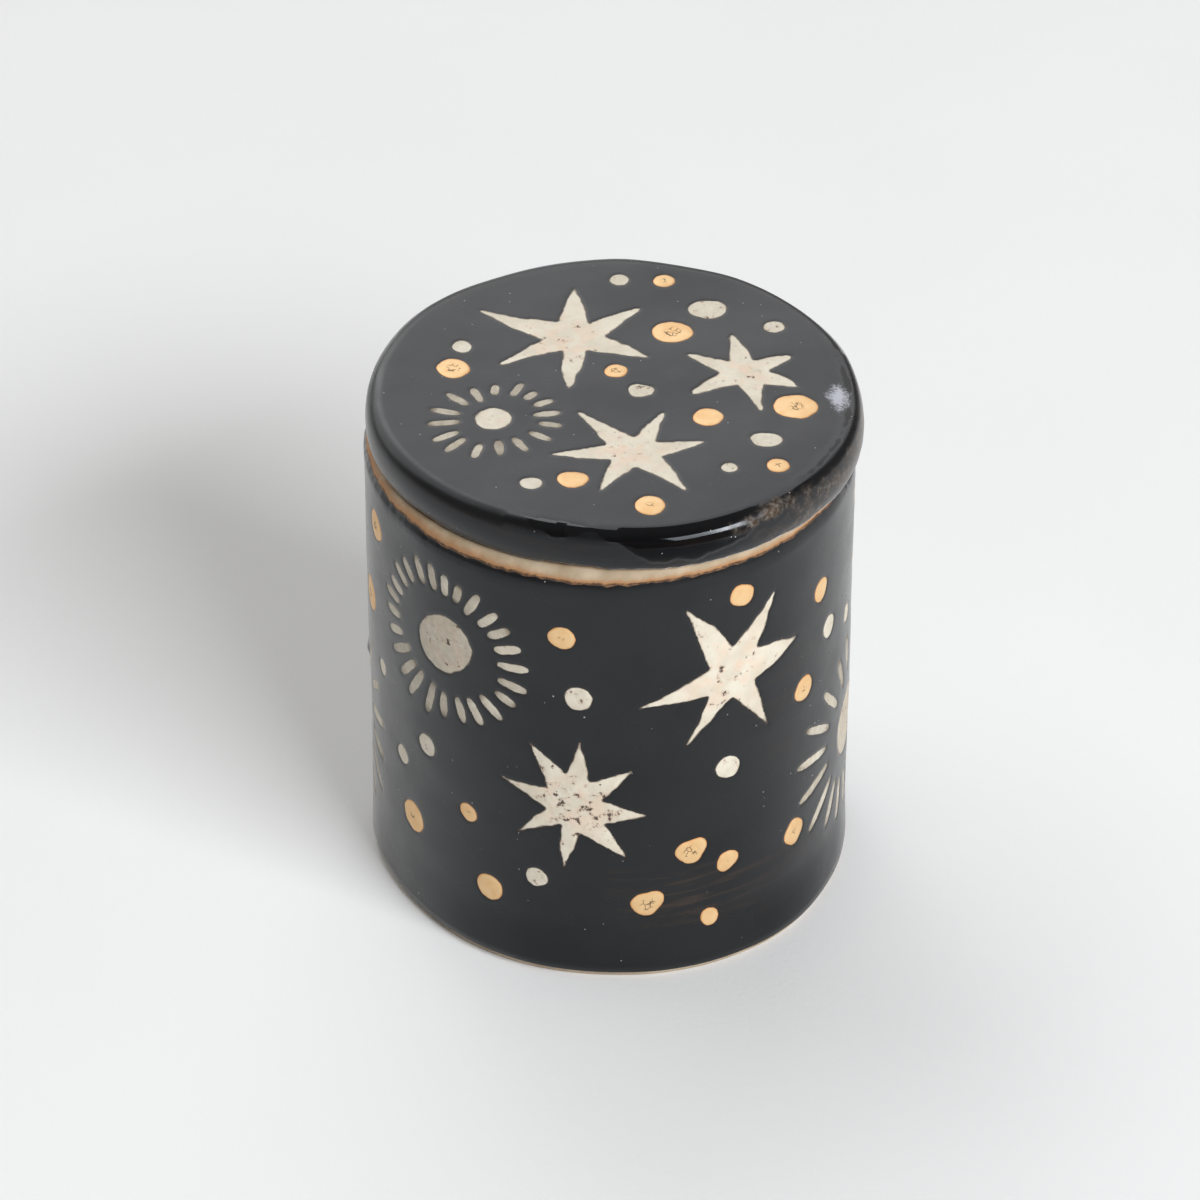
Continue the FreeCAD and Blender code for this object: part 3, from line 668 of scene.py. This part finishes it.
fields = {}
for node_name, _, surface, matter_kind in INLAYS:
    field = read_field(node_name, surface)
    shake = WAVER[matter_kind] * ripples(surface.xyz, (1, 2.4, 31), (0.35, 1.1, 32))
    field.edge = np.where(field.edge < FAR, field.edge + shake * field.calm, FAR)
    fields[node_name] = field


def nearest_of(surface, matter_kind):
    return np.min([fields[n].edge for n, _, s, m in INLAYS if s is surface and m == matter_kind], 0)


# Materials


class Look:
    """A material under construction."""

    def __init__(self, name):
        self.material = bpy.data.materials.new(name)
        self.material.use_nodes = True
        self.tree = self.material.node_tree
        self.shader = self.tree.nodes["Principled BSDF"]
        self.place = self.put("TexCoord").outputs["Object"]

    def feed(self, socket, source):
        """Link an output into a socket, or set the socket to a value."""
        if isinstance(source, bpy.types.NodeSocket):
            self.tree.links.new(source, socket)
        else:
            socket.default_value = (*source, 1.0) if socket.type == "RGBA" else source

    def put(self, kind, inputs=None, **settings):
        """A shader node with its settings and inputs."""
        made = self.tree.nodes.new(f"ShaderNode{kind}")
        for key, setting in settings.items():
            setattr(made, key, setting)
        for key, source in (inputs or {}).items():
            self.feed(made.inputs[key], source)
        return made

    def stretched(self, scale):
        return self.put("Mapping", {"Vector": self.place, "Scale": scale}).outputs[0]

    def noise(self, size, detail=2.0, rough=0.5, place=None, distortion=0.0):
        inputs = {
            "Vector": place or self.place, "Scale": 1 / (size * MM), "Detail": detail,
            "Roughness": rough, "Distortion": distortion,
        }
        return self.put("TexNoise", inputs).outputs[0]

    def cells(self, size, feature="F1"):
        inputs = {"Vector": self.place, "Scale": 1 / (size * MM)}
        return self.put("TexVoronoi", inputs, feature=feature)

    def ramp(self, source, low, high, to_low=0.0, to_high=1.0):
        inputs = {0: source, 1: low, 2: high, 3: to_low, 4: to_high}
        return self.put("MapRange", inputs, interpolation_type="SMOOTHSTEP").outputs[0]

    def patches(self, size, detail, low=0.0, high=1.0):
        """Soft patches of a size, from one value to another."""
        return self.ramp(self.noise(size, detail), 0.3, 0.7, low, high)

    def math(self, operation, first, second):
        return self.put("Math", {0: first, 1: second}, operation=operation).outputs[0]

    def plus(self, first, second):
        return self.math("ADD", first, second)

    def times(self, first, second):
        return self.math("MULTIPLY", first, second)

    def attribute(self, name):
        return self.put("Attribute", attribute_name=name).outputs["Fac"]

    def mix(self, share, first, second):
        return self.put("Mix", {0: share, 6: first, 7: second}, data_type="RGBA").outputs[2]

    def tinted(self, colour, share, strength, tint):
        """A colour with a tint over it, at this strength where the share is one."""
        return self.mix(self.times(share, strength), colour, tint)

    def blend(self, share, first, second):
        return self.put("Mix", {0: share, 2: first, 3: second}, data_type="FLOAT").outputs[0]

    def bump(self, layers):
        """Layers of height and how deep each is, in millimetres."""
        below = {}
        for height, depth in layers:
            inputs = {"Height": height, "Distance": depth * MM, "Strength": 1.0, **below}
            below = {"Normal": self.put("Bump", inputs).outputs[0]}
        self.set(**below)

    def set(self, **inputs):
        for key, source in inputs.items():
            self.feed(self.shader.inputs[key.replace("_", " ")], source)

    def specks(self, size, radius, share):
        """Round specks of a radius, in a share of the cells of a size."""
        cells = self.cells(size)
        dot = self.ramp(cells.outputs["Distance"], radius / size, 0.6 * radius / size)
        number = self.put("SeparateColor", {0: cells.outputs["Color"]}).outputs[0]
        return self.times(dot, self.math("LESS_THAN", number, share))


BROWN = (0.062, 0.036, 0.020)
DARK_BROWN = (0.020, 0.013, 0.009)
WORN_GREY = (0.165, 0.148, 0.13)


def black_glaze():
    look = Look("black_satin_glaze")
    cloud = look.ramp(look.noise(14, 3), 0.35, 0.65)
    colour = look.mix(cloud, (0.0035, 0.0035, 0.0040), (0.0070, 0.0070, 0.0074))
    thin = look.attribute("thin")
    patchy = look.ramp(look.noise(2.0, 4, 0.55), 0.32, 0.66)
    fine = look.ramp(look.noise(0.6, 3, 0.6), 0.36, 0.74)
    thin_share = look.ramp(look.plus(thin, look.times(patchy, 0.35)), 0.45, 1.15)
    worn = look.mix(fine, look.mix(patchy, DARK_BROWN, BROWN), WORN_GREY)
    colour = look.mix(thin_share, colour, worn)
    streaky = look.stretched((0.16, 0.16, 2.2))
    streak = look.ramp(look.noise(2.6, 4, 0.6, streaky, 0.4), 0.48, 0.68)
    streak = look.times(streak, look.attribute("streak"))
    colour = look.tinted(colour, streak, 0.62, BROWN)
    chalk = look.attribute("chalk")
    grit = look.plus(look.times(look.noise(1.3, 3), 0.7), look.noise(0.30, 3, 0.8))
    chalky = look.ramp(look.plus(chalk, grit), 1.38, 1.74)
    chalky = look.times(chalky, look.ramp(chalk, 0.02, 0.15))
    colour = look.tinted(colour, chalky, 0.85, (0.55, 0.56, 0.62))
    dust = look.plus(look.specks(1.3, 0.10, 0.18), look.specks(4.0, 0.15, 0.25))
    colour = look.tinted(colour, dust, 0.8, (0.52, 0.52, 0.52))
    pool = look.attribute("pool")
    satin = look.patches(5, 3, 0.27, 0.34)
    roughness = look.blend(look.ramp(pool, 0.0, 0.6), satin, 0.06)
    roughness = look.blend(look.times(thin_share, 0.7), roughness, 0.45)
    roughness = look.blend(chalky, roughness, 0.85)
    look.bump(((look.noise(2.4, 2), 0.012), (look.noise(0.35, 2), 0.002)))
    # Painted shade in the reflection: where the pool attribute is high, on the lid's drip and its
    # right edge, the specular tint drops to 0.15 so these show dark. On thin glaze it drops
    # further, which also hides glints.
    tint = look.mix(look.ramp(pool, 0.6, 1.0), (0.73, 0.76, 0.80), (0.15, 0.16, 0.17))
    tint = look.tinted(tint, thin_share, 0.8, (0.12, 0.11, 0.10))
    look.set(Base_Color=colour, Roughness=roughness, IOR=1.5, Specular_Tint=tint)
    look.set(Sheen_Weight=0.5, Sheen_Roughness=0.30)
    return look.material


def cream_slip():
    look = Look("cream_slip")
    edge, core, veil = (look.attribute(name) for name in ("edge", "core", "veil"))
    cloud = look.patches(3.2, 3)
    colour = look.mix(cloud, (0.63, 0.56, 0.445), (0.73, 0.675, 0.56))
    blush = look.times(core, look.ramp(look.noise(2.2, 3), 0.40, 0.62))
    colour = look.tinted(colour, blush, 0.75, (0.74, 0.56, 0.42))
    film = look.plus(veil, look.times(look.math("SUBTRACT", look.noise(0.9, 2), 0.5), 0.35))
    colour = look.mix(look.ramp(film, 0.0, 1.0), colour, (0.10, 0.068, 0.033))
    rim = look.ramp(look.plus(edge, look.times(look.noise(0.9, 3), 0.35)), -0.16, 0.16)
    colour = look.tinted(colour, rim, 0.85, (0.10, 0.062, 0.036))
    spots = look.noise(1.2, 4, 0.6)
    marks = look.attribute("marks")
    tip = look.times(look.ramp(core, 0.035, 0.008), look.times(marks, 0.7))
    where = look.plus(look.times(core, 1.1), look.plus(tip, 0.10))
    where = look.times(where, look.plus(marks, 0.05))
    spots = look.plus(spots, look.plus(look.times(where, 0.08), look.times(tip, 0.10)))
    faint = look.ramp(where, 0.0, 0.12)
    soft = look.times(look.ramp(spots, 0.59, 0.68), faint)
    colour = look.tinted(colour, soft, 0.42, (0.40, 0.235, 0.15))
    dark = look.times(look.ramp(spots, 0.67, 0.70), faint)
    colour = look.tinted(colour, dark, 0.92, (0.045, 0.026, 0.018))
    beads = look.specks(1.9, 0.19, 0.20)
    beads = look.times(beads, look.ramp(look.plus(core, look.noise(4, 1)), 0.55, 0.95))
    colour = look.tinted(colour, beads, 0.92, (0.022, 0.014, 0.011))
    rust = look.times(look.specks(2.3, 0.16, 0.20), look.ramp(core, 0.05, 0.4))
    colour = look.tinted(colour, rust, 0.7, (0.42, 0.13, 0.035))
    roughness = look.patches(1.6, 2, 0.42, 0.62)
    look.bump(((look.noise(0.9, 3), 0.05), (look.noise(0.22, 2), 0.012), (beads, -0.05)))
    look.set(Base_Color=colour, Roughness=roughness)
    return look.material


def gold_lustre():
    look = Look("gold_lustre")
    edge = look.attribute("edge")
    colour = look.mix(look.patches(2.0, 3), (0.79, 0.50, 0.235), (0.83, 0.57, 0.30))
    rim = look.ramp(look.plus(edge, look.times(look.noise(0.8, 2), 0.25)), -0.22, 0.12)
    colour = look.tinted(colour, rim, 0.85, (0.62, 0.24, 0.055))
    lines = look.cells(0.75, "DISTANCE_TO_EDGE").outputs["Distance"]
    line = look.ramp(lines, 0.085, 0.035)
    patch = look.ramp(look.noise(1.6, 2), 0.40, 0.48)
    crack = look.times(look.times(line, patch), look.ramp(look.attribute("core"), 0.26, 0.50))
    colour = look.tinted(colour, crack, 0.92, (0.11, 0.065, 0.035))
    roughness = look.patches(1.2, 3, 0.44, 0.54)
    roughness = look.blend(crack, roughness, 0.7)
    look.bump(((look.noise(1.1, 2), 0.02), (look.noise(0.2, 2), 0.004), (crack, -0.012)))
    look.set(Base_Color=colour, Roughness=roughness, Metallic=0.4)
    return look.material


def bare_clay():
    look = Look("bare_clay")
    toast = look.attribute("toast")
    cloud = look.patches(4, 3)
    colour = look.mix(cloud, (0.39, 0.295, 0.19), (0.52, 0.41, 0.285))
    burnt = look.ramp(look.plus(toast, look.times(look.noise(1.1, 4, 0.6), 0.6)), 0.40, 1.1)
    colour = look.tinted(colour, burnt, 0.9, (0.42, 0.20, 0.075))
    darkest = look.ramp(look.plus(toast, look.times(look.noise(0.7, 3), 0.3)), 0.98, 1.2)
    colour = look.mix(darkest, colour, (0.07, 0.032, 0.014))
    iron = look.specks(2.0, 0.10, 0.22)
    colour = look.tinted(colour, iron, 0.8, (0.16, 0.075, 0.035))
    roughness = look.patches(2.0, 2, 0.55, 0.75)
    look.bump(((look.noise(1.3, 3), 0.06), (look.noise(0.25, 2), 0.025)))
    look.set(Base_Color=colour, Roughness=roughness)
    return look.material


def plain_clay():
    """Bare clay for the pieces that the model's own nodes show."""
    look = Look("plain_clay")
    cloud = look.patches(6, 4)
    colour = look.mix(cloud, (0.64, 0.52, 0.37), (0.77, 0.66, 0.50))
    iron = look.specks(2.2, 0.11, 0.25)
    colour = look.tinted(colour, iron, 0.8, (0.17, 0.08, 0.04))
    finger = look.noise(7, 2, place=look.stretched((1, 1, 3)))
    roughness = look.patches(2.0, 2, 0.62, 0.80)
    look.bump(((finger, 0.12), (look.noise(1.3, 3), 0.05), (look.noise(0.25, 2), 0.03)))
    look.set(Base_Color=colour, Roughness=roughness)
    return look.material


def clear_glaze():
    look = Look("clear_glaze")
    cloud = look.patches(9, 3)
    colour = look.mix(cloud, (0.66, 0.57, 0.43), (0.76, 0.68, 0.54))
    iron = look.specks(2.6, 0.13, 0.25)
    colour = look.tinted(colour, iron, 0.75, (0.20, 0.10, 0.05))
    roughness = look.patches(8, 2, 0.08, 0.16)
    look.bump(((look.noise(4, 2), 0.08), (look.noise(0.9, 2), 0.01)))
    look.set(Base_Color=colour, Roughness=roughness)
    return look.material


GLAZE_LOOK = black_glaze()
SLIP_LOOK = cream_slip()
GOLD_LOOK = gold_lustre()
CLAY_LOOK = bare_clay()
PLAIN_CLAY_LOOK = plain_clay()
LINER_LOOK = clear_glaze()


# Inlay pieces: a patch of the net over each ornament, closed below

MATTERS = {
    "slip": (slip_height, SLIP_LOOK, "cream_slip"),
    "gold": (gold_height, GOLD_LOOK, "gold_lustre"),
}

for node_name, piece_name, surface, matter_kind in INLAYS:
    height_of, look, slot = MATTERS[matter_kind]
    field = fields[node_name]
    keep = cells_where(field.edge < PATCH_MARGIN, surface.cells)
    faces, i, j = net_faces(keep, keep, STEP, low_pole=surface is LID)
    edge = field.edge[i, j]
    height = np.maximum(height_of(edge, surface.xyz[i, j]), UNDER + THINNEST)
    sides = [surface.place(surface.angles[i], surface.alongs[j], out) for out in (height, UNDER)]
    says = {key: getattr(field, key)[i, j] for key in ("edge", "core", "veil", "marks")}
    says["edge"] /= field.calm[i, j]
    attributes = {key: np.tile(values, 2) for key, values in says.items()}
    piece = finish_mesh(piece_name, np.vstack(sides), close_below(faces, len(i)), attributes, look)
    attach(piece, surface.body)
    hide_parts(node_name)


# The black glaze


def near_spot(angle, along, at_degrees, at_along, half_degrees, half_along):
    """A soft round spot on a turned surface, one at its middle."""
    off = (angle - math.radians(at_degrees) + math.pi) % FULL_TURN - math.pi
    spread = (off / math.radians(half_degrees)) ** 2 + ((along - at_along) / half_along) ** 2
    return np.exp(-spread)


def spots(angle, along, *each):
    """Spots added up, each given as its strength, its place and its size."""
    return sum(strength * near_spot(angle, along, *spot) for strength, *spot in each)


def stepped_down(full, slip, gold):
    """The coat's height where it steps down from its full height to the slip and the gold."""
    height = blend(GLAZE_FLOOR, full, step_up(slip))
    return np.minimum(height, blend(GOLD_FLOOR, full, step_up(gold)))


def on_step(slip, gold, reach):
    """Which points of a net are on that step."""
    return np.minimum(np.abs(slip - STEP_MIDDLE), np.abs(gold - STEP_MIDDLE)) < reach


def make_coat(name, surface, height, fine, says, back, depth, **ends):
    """A coat over a surface's whole net, fine where marked, with a hidden back so deep in the clay
    through these places along it."""
    across, along = surface.cells
    cells = (across, along + len(back) + ("joined_ends" in ends))
    refine = np.zeros(cells, bool)
    refine[:, :along] = cells_where(fine, surface.cells)
    faces, i, j = net_faces(np.ones(cells, bool), refine, STEP, **ends)
    rows = along * STEP
    outer, row = j <= rows, np.minimum(j, rows)
    hidden = np.array((0.0, *back))[np.maximum(j - rows, 0) // STEP]
    place = np.where(outer, surface.alongs[row], hidden)
    points = surface.place(surface.angles[i], place, np.where(outer, height[i, row], depth))
    attributes = {key: values[i, row] for key, values in says.items()}
    attributes["thin"] = np.where(outer, attributes["thin"], 1)
    return finish_mesh(name, points, faces, attributes, GLAZE_LOOK)


# How high the wall's coat ends at each place in degrees, and how high it begins
TOP_EDGE = (
    (-180, 67.4), (-120, 67.6), (-75, 67.8), (-40, 67.6), (-15, 67.1), (5, 67.0), (25, 67.1),
    (42, 66.9), (60, 66.9), (78, 67.1), (95, 67.4), (140, 67.3),
)
BOTTOM_EDGE = 0.42
# The coat's hidden back, in the clay: how deep, and its rows
COAT_BACK = -0.55
BACK_ALONGS = (WALL_HIGH - 0.3, 30.0, 10.0, 8.0, 6.5, 5.0, 3.5, 2.0, WALL_LOW + 0.3)


def top_edge(angle):
    ragged = ripples(turned(angle, CLAY_RADIUS), (0.10, 9, 41), (0.05, 2.6, 42), (0.025, 1.0, 43))
    return by_degrees(angle, TOP_EDGE) + ragged


def make_wall_glaze():
    slip, gold = nearest_of(WALL, "slip"), nearest_of(WALL, "gold")
    foot = turned(wall_angles, CLAY_RADIUS)
    low_edge = BOTTOM_EDGE + ripples(foot, (0.07, 7, 44), (0.03, 1.8, 45))
    to_top = top_edge(wall_angles)[:, None] - WALL_V
    to_foot = WALL_V - low_edge[:, None]
    full = GLAZE + spots(WALL_A, WALL_V, (0.35, -90, 31.4, 2.4, 1.3))
    full = full + 0.03 * np.exp(-(((to_top - 1.3) / 0.6) ** 2))
    height = stepped_down(full, slip, gold)
    height = blend(-0.1, height, smooth((to_top + 0.1) / 1.7))
    height = blend(-0.2, height, smooth((to_foot + 0.12) / 0.4))
    thin = np.maximum(1.1 * smooth(1 - to_top / 0.6), 0.9 * smooth(1 - to_foot / 0.3))
    thin = np.maximum(thin, 0.5 * smooth(1 - np.abs(slip) / 0.3))
    streak = spots(WALL_A, WALL_V + 0.08 * np.degrees(WALL_A), (0.9, 18, 14.4, 24, 4.5))
    streak += spots(
        WALL_A, WALL_V, (0.35, -120, 22, 30, 6), (0.35, 150, 48, 30, 6), (0.22, 44, 40, 14, 10)
    )
    fine = on_step(slip, gold, 0.4) | (np.abs(to_top) < 0.4)
    says = {"thin": thin, "streak": streak, "pool": 0 * thin, "chalk": 0 * thin}
    return make_coat(
        "wall_black_coat", WALL, height, fine, says, BACK_ALONGS, COAT_BACK, joined_ends=True
    )


# The lid's pooled gloss reaches down the side from the edge as far as this, in millimetres at each
# place in degrees
POOL_DEPTH = (
    (-180, -2.5), (-50, -2.5), (-30, -1.0), (-23, 1.0), (-19, 2.3), (-13, 2.5), (-8, 1.6),
    (-2, 1.4), (1, 2.6), (5, 4.9), (12, 5.6), (20, 5.2), (29, 3.8), (37, 1.4), (48, 1.0), (60, 0.8),
    (75, 0.6), (95, 0.6), (110, 0.3), (125, -1.5), (140, -2.5),
)
# How far in from the edge the gloss begins, and how thin the glaze is low on the lid's side
POOL_START = ((-180, -1.0), (-20, -1.0), (20, -1.1), (60, -0.8), (106, -0.7), (111, -0.3))
LID_WORN = (
    (-180, 0.3), (-60, 0.15), (-30, 0.1), (20, 0.1), (35, 0.35), (55, 0.6), (75, 0.7), (90, 0.95),
    (108, 0.85), (140, 0.35),
)
WORN_START = ((-180, 1.6), (35, 1.6), (58, 0.4), (110, 0.2), (130, 1.6))
LID_COAT_BACK = -0.6


def make_lid_glaze():
    slip, gold = nearest_of(LID, "slip"), nearest_of(LID, "gold")
    end = lid_alongs[-1]
    ring = turned(lid_angles, LID_WIDEST)
    ragged = ripples(ring, (0.10, 8, 51), (0.05, 2.2, 52), (0.03, 1.0, 53))
    to_end = (end - 0.25 + ragged)[:, None] - LID_V
    waver = ripples(LID_XYZ, (0.20, 5, 54), (0.10, 1.8, 55))
    depth = by_degrees(LID_A, POOL_DEPTH) + waver
    beyond = LID_V - LID_EDGE
    pool = smooth((depth - beyond) / 0.4)
    pool = pool * smooth((beyond - by_degrees(LID_A, POOL_START) + waver) / 0.8)
    drip = smooth((depth - beyond) / 0.7) * smooth((beyond - 1.7) / 0.9)
    # Deep is one below the edge and on the right side past 42 degrees. There the pool reaches one
    # and its reflection is painted dark, a painted shade. Along the edge the pool stays at 0.6, so
    # the highlight keeps its brightness.
    turn = np.degrees((LID_A + math.pi) % FULL_TURN - math.pi)
    deep = np.maximum(smooth((beyond - 1.2) / 0.8), smooth((turn - 42) / 16))
    pool = pool * blend(0.6, 1.0, deep)
    full = GLAZE + 0.20 * drip + 0.06 * np.exp(-(((to_end - 1.0) / 0.7) ** 2))
    height = blend(-0.2, stepped_down(full, slip, gold), smooth((to_end + 0.12) / 0.4))
    scuffs = spots(
        LID_A, beyond, (1, 37, 1.6, 8, 1.2), (0.6, 28, 2.3, 5, 0.7), (0.7, 52, 2.4, 9, 1.1),
        (0.45, -26, 0.2, 10, 0.5), (0.5, 160, 1.2, 12, 1.0),
    )
    lower = smooth((beyond - by_degrees(LID_A, WORN_START)) / 2.2)
    lower = lower * (1 - pool) * by_degrees(LID_A, LID_WORN)
    thin = np.maximum(0.8 * smooth(1 - to_end / 0.5), 0.9 * scuffs)
    thin = np.maximum(thin, lower)
    thin = np.maximum(thin, 0.5 * smooth(1 - np.abs(slip) / 0.35))
    chalk = spots(
        LID_A, beyond, (0.88, 88, -1.6, 6.8, 2.7), (0.42, 79, -1.0, 8, 1.3),
        (0.30, 64, 2.4, 14, 1.6),
    )
    fine = on_step(slip, gold, 0.5) | (np.abs(to_end) < 0.4)
    fine |= (np.abs(depth - beyond) < 0.5) & (beyond > 0.5)
    pool = pool * (1 - np.clip(scuffs, 0, 1))
    says = {"thin": thin, "streak": 0.25 * smooth(beyond - 1.5), "pool": pool, "chalk": chalk}
    back = (end - 0.4, LID_EDGE - 1.0, 0.0)
    return make_coat(
        "lid_black_coat", LID, height, fine, says, back, LID_COAT_BACK,
        low_pole=True, high_pole=True,
    )


# Clay

CLAY_SIDES = 432
clay_angles = np.linspace(0, FULL_TURN, CLAY_SIDES, endpoint=False)


def circle(radius, height):
    return turned(clay_angles, radius, height)


def wall_row(along, out=0.0):
    return wall_place(clay_angles, np.full(CLAY_SIDES, float(along)), out)


def lid_row(along, out=0.0):
    return lid_place(clay_angles, np.full(CLAY_SIDES, along), out)


# How far up the bare rim the burnt clay reaches
TOAST_REACH = ((-180, 1.4), (-90, 1.4), (-40, 1.1), (-12, 0.55), (28, 0.5), (60, 0.75), (110, 1.4))


# Above this height the rim's bare clay is grainy
GRAIN_START = 66
# How deep the clay lies under the lid's coat
LID_CLAY_UNDER = 0.5


def make_wall_clay():
    edge, reach = top_edge(clay_angles), by_degrees(clay_angles, TOAST_REACH)
    arc_end = POT_HEIGHT - RIM_ROUND + RIM_ROUND * math.pi / 2
    alongs = (*range(6, 12), *range(16, 64, 6), *np.arange(65, arc_end, 0.22), arc_end)
    rows = []
    for along in (BASE_HEIGHT, *alongs):
        grain = 0.03 * ripple(circle(CLAY_RADIUS, along), 2.4, 61) if along > GRAIN_START else 0.0
        rows.append((wall_row(along, grain), np.exp(-np.clip(along - edge, 0, None) / reach)))
    wide = np.linalg.norm(rows[-1][0][:, :2], axis=1)
    for share in (0.35, 0.7):
        rows.append((circle(blend(wide, INSIDE_RADIUS + RIM_INNER_ROUND, share), POT_HEIGHT), 0.1))
    for turn in np.linspace(0, math.pi / 2, 6):
        radius = INSIDE_RADIUS + RIM_INNER_ROUND * (1 - math.sin(turn))
        rows.append((circle(radius, POT_HEIGHT - RIM_INNER_ROUND * (1 - math.cos(turn))), 0.1))
    rows += [(circle(INSIDE_RADIUS, height), 0.0) for height in (60, 30, BASE_HEIGHT)]
    return loft("pot_wall_clay", rows, closed=True)


def make_base_clay():
    foot_start = FOOT_ROUND - FOOT_ROUND * math.pi / 2
    rows = [((0.0, 0.0, 0.0), 0.0)]
    rows += [(wall_row(foot_start) * (share, share, 0), 0.05) for share in (0.5, 0.9)]
    for along in (*np.linspace(foot_start, FOOT_ROUND, 6), 1.2, 1.6, 2.5, 3.5, BASE_HEIGHT):
        row = wall_row(along)
        row[:, 2] = np.maximum(row[:, 2], 0)
        rows.append((row, 0.2))
    rows.append(((0.0, 0.0, BASE_HEIGHT), 0.0))
    return loft("pot_base_clay", rows)


def make_lid_clay():
    rows = [((LID_CENTRE, 0.0, LID_HIGH + LID_COAT_BACK), 0.0)]
    rows += [(lid_row(along, -LID_CLAY_UNDER), 0.0) for along in (LID_EDGE - 2, LID_EDGE + 1)]
    bare = lid_alongs[-1] - 1.5
    for along in (*np.arange(LID_EDGE + 2, bare, 0.8), *np.arange(bare, LID_ALONG[-1] - 3.6, 0.2)):
        rows.append((lid_row(along), 0.55))
    middle = np.array((LID_CENTRE, 0.0, LID_LOW))
    rows.append((middle + (rows[-1][0] - middle) * (0.96, 0.96, 0), 0.2))
    rows.append((middle, 0.0))
    return loft("lid_clay", rows)


for piece, body, node_name, slot in (
    (make_wall_glaze(), "pot", "wall_black_glaze", "black_glaze"),
    (make_lid_glaze(), "lid", "lid_black_glaze", "black_glaze"),
    (make_wall_clay(), "pot", "pot_wall_slab", "bare_clay"),
    (make_base_clay(), "pot", "pot_base_slab", "bare_clay"),
    (make_lid_clay(), "lid", "lid_slab", "bare_clay"),
):
    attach(piece, body)
    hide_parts(node_name)

for node_name, look in (("pot_liner_glaze", LINER_LOOK), ("lid_locating_ring", PLAIN_CLAY_LOOK)):
    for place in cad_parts[node_name].material_slots:
        place.material = look


# Floor, light and camera

FLOOR_SIZE = 6.0


def make_floor():
    half = FLOOR_SIZE / 2
    mesh = bpy.data.meshes.new("floor")
    corners = [(-half, -half, 0), (half, -half, 0), (half, half, 0), (-half, half, 0)]
    mesh.from_pydata(corners, [], [(0, 1, 2, 3)])
    look = Look("floor_paper")
    colour = look.mix(look.noise(60, 2), (0.80, 0.80, 0.80), (0.84, 0.84, 0.84))
    look.bump(((look.noise(0.8, 3), 0.04),))
    look.set(Base_Color=colour, Roughness=0.75)
    mesh.materials.append(look.material)
    floor = added("floor", mesh)


def aim(piece, turn, height, away, target=Vector()):
    """Stand a piece degrees round from the front and degrees up, facing its target."""
    a, e = math.radians(turn), math.radians(height)
    back = Vector((math.sin(a) * math.cos(e), -math.cos(a) * math.cos(e), math.sin(e)))
    piece.location = target + back * away
    piece.rotation_mode = "QUATERNION"
    piece.rotation_quaternion = back.to_track_quat("Z", "Y")


def make_light(name, turn, height, away, sizes, power, colour):
    """A soft light, so wide and high."""
    data = bpy.data.lights.new(name, "AREA")
    data.shape = "RECTANGLE"
    data.size, data.size_y = sizes
    data.energy = power
    data.color = colour
    light = added(name, data)
    aim(light, turn, height, away)
    light.visible_camera = False


def make_world():
    world = bpy.data.worlds.new("studio")
    bpy.context.scene.world = world
    world.use_nodes = True
    colour, strength = world.node_tree.nodes["Background"].inputs[:2]
    colour.default_value = (1.0, 0.98, 0.95, 1.0)
    strength.default_value = 0.15


CAMERA_TARGET = Vector((-1.61, 0.0, 39.59)) * MM
CAMERA_AWAY = 772.5 * MM
CAMERA_UP = 36.2
LENS = 165.0


def make_camera():
    data = bpy.data.cameras.new("camera")
    data.sensor_width = 36.0
    data.lens = LENS
    data.clip_start = 0.01
    data.clip_end = 50.0
    camera = added("camera", data)
    aim(camera, 0, CAMERA_UP, CAMERA_AWAY, CAMERA_TARGET)
    bpy.context.scene.camera = camera


make_floor()
make_light("key", 40, 37, 1.8, (1.1, 0.5), 33.5, (0.96, 0.98, 1.0))
make_light("back", 185, 38, 2.6, (2.0, 2.1), 19.5, (1.0, 0.995, 1.0))
make_light("back_left", -135, 40, 2.6, (2.5, 2.5), 29, (0.985, 0.99, 0.97))
make_world()
make_camera()
bpy.context.scene.view_settings.view_transform = "Standard"
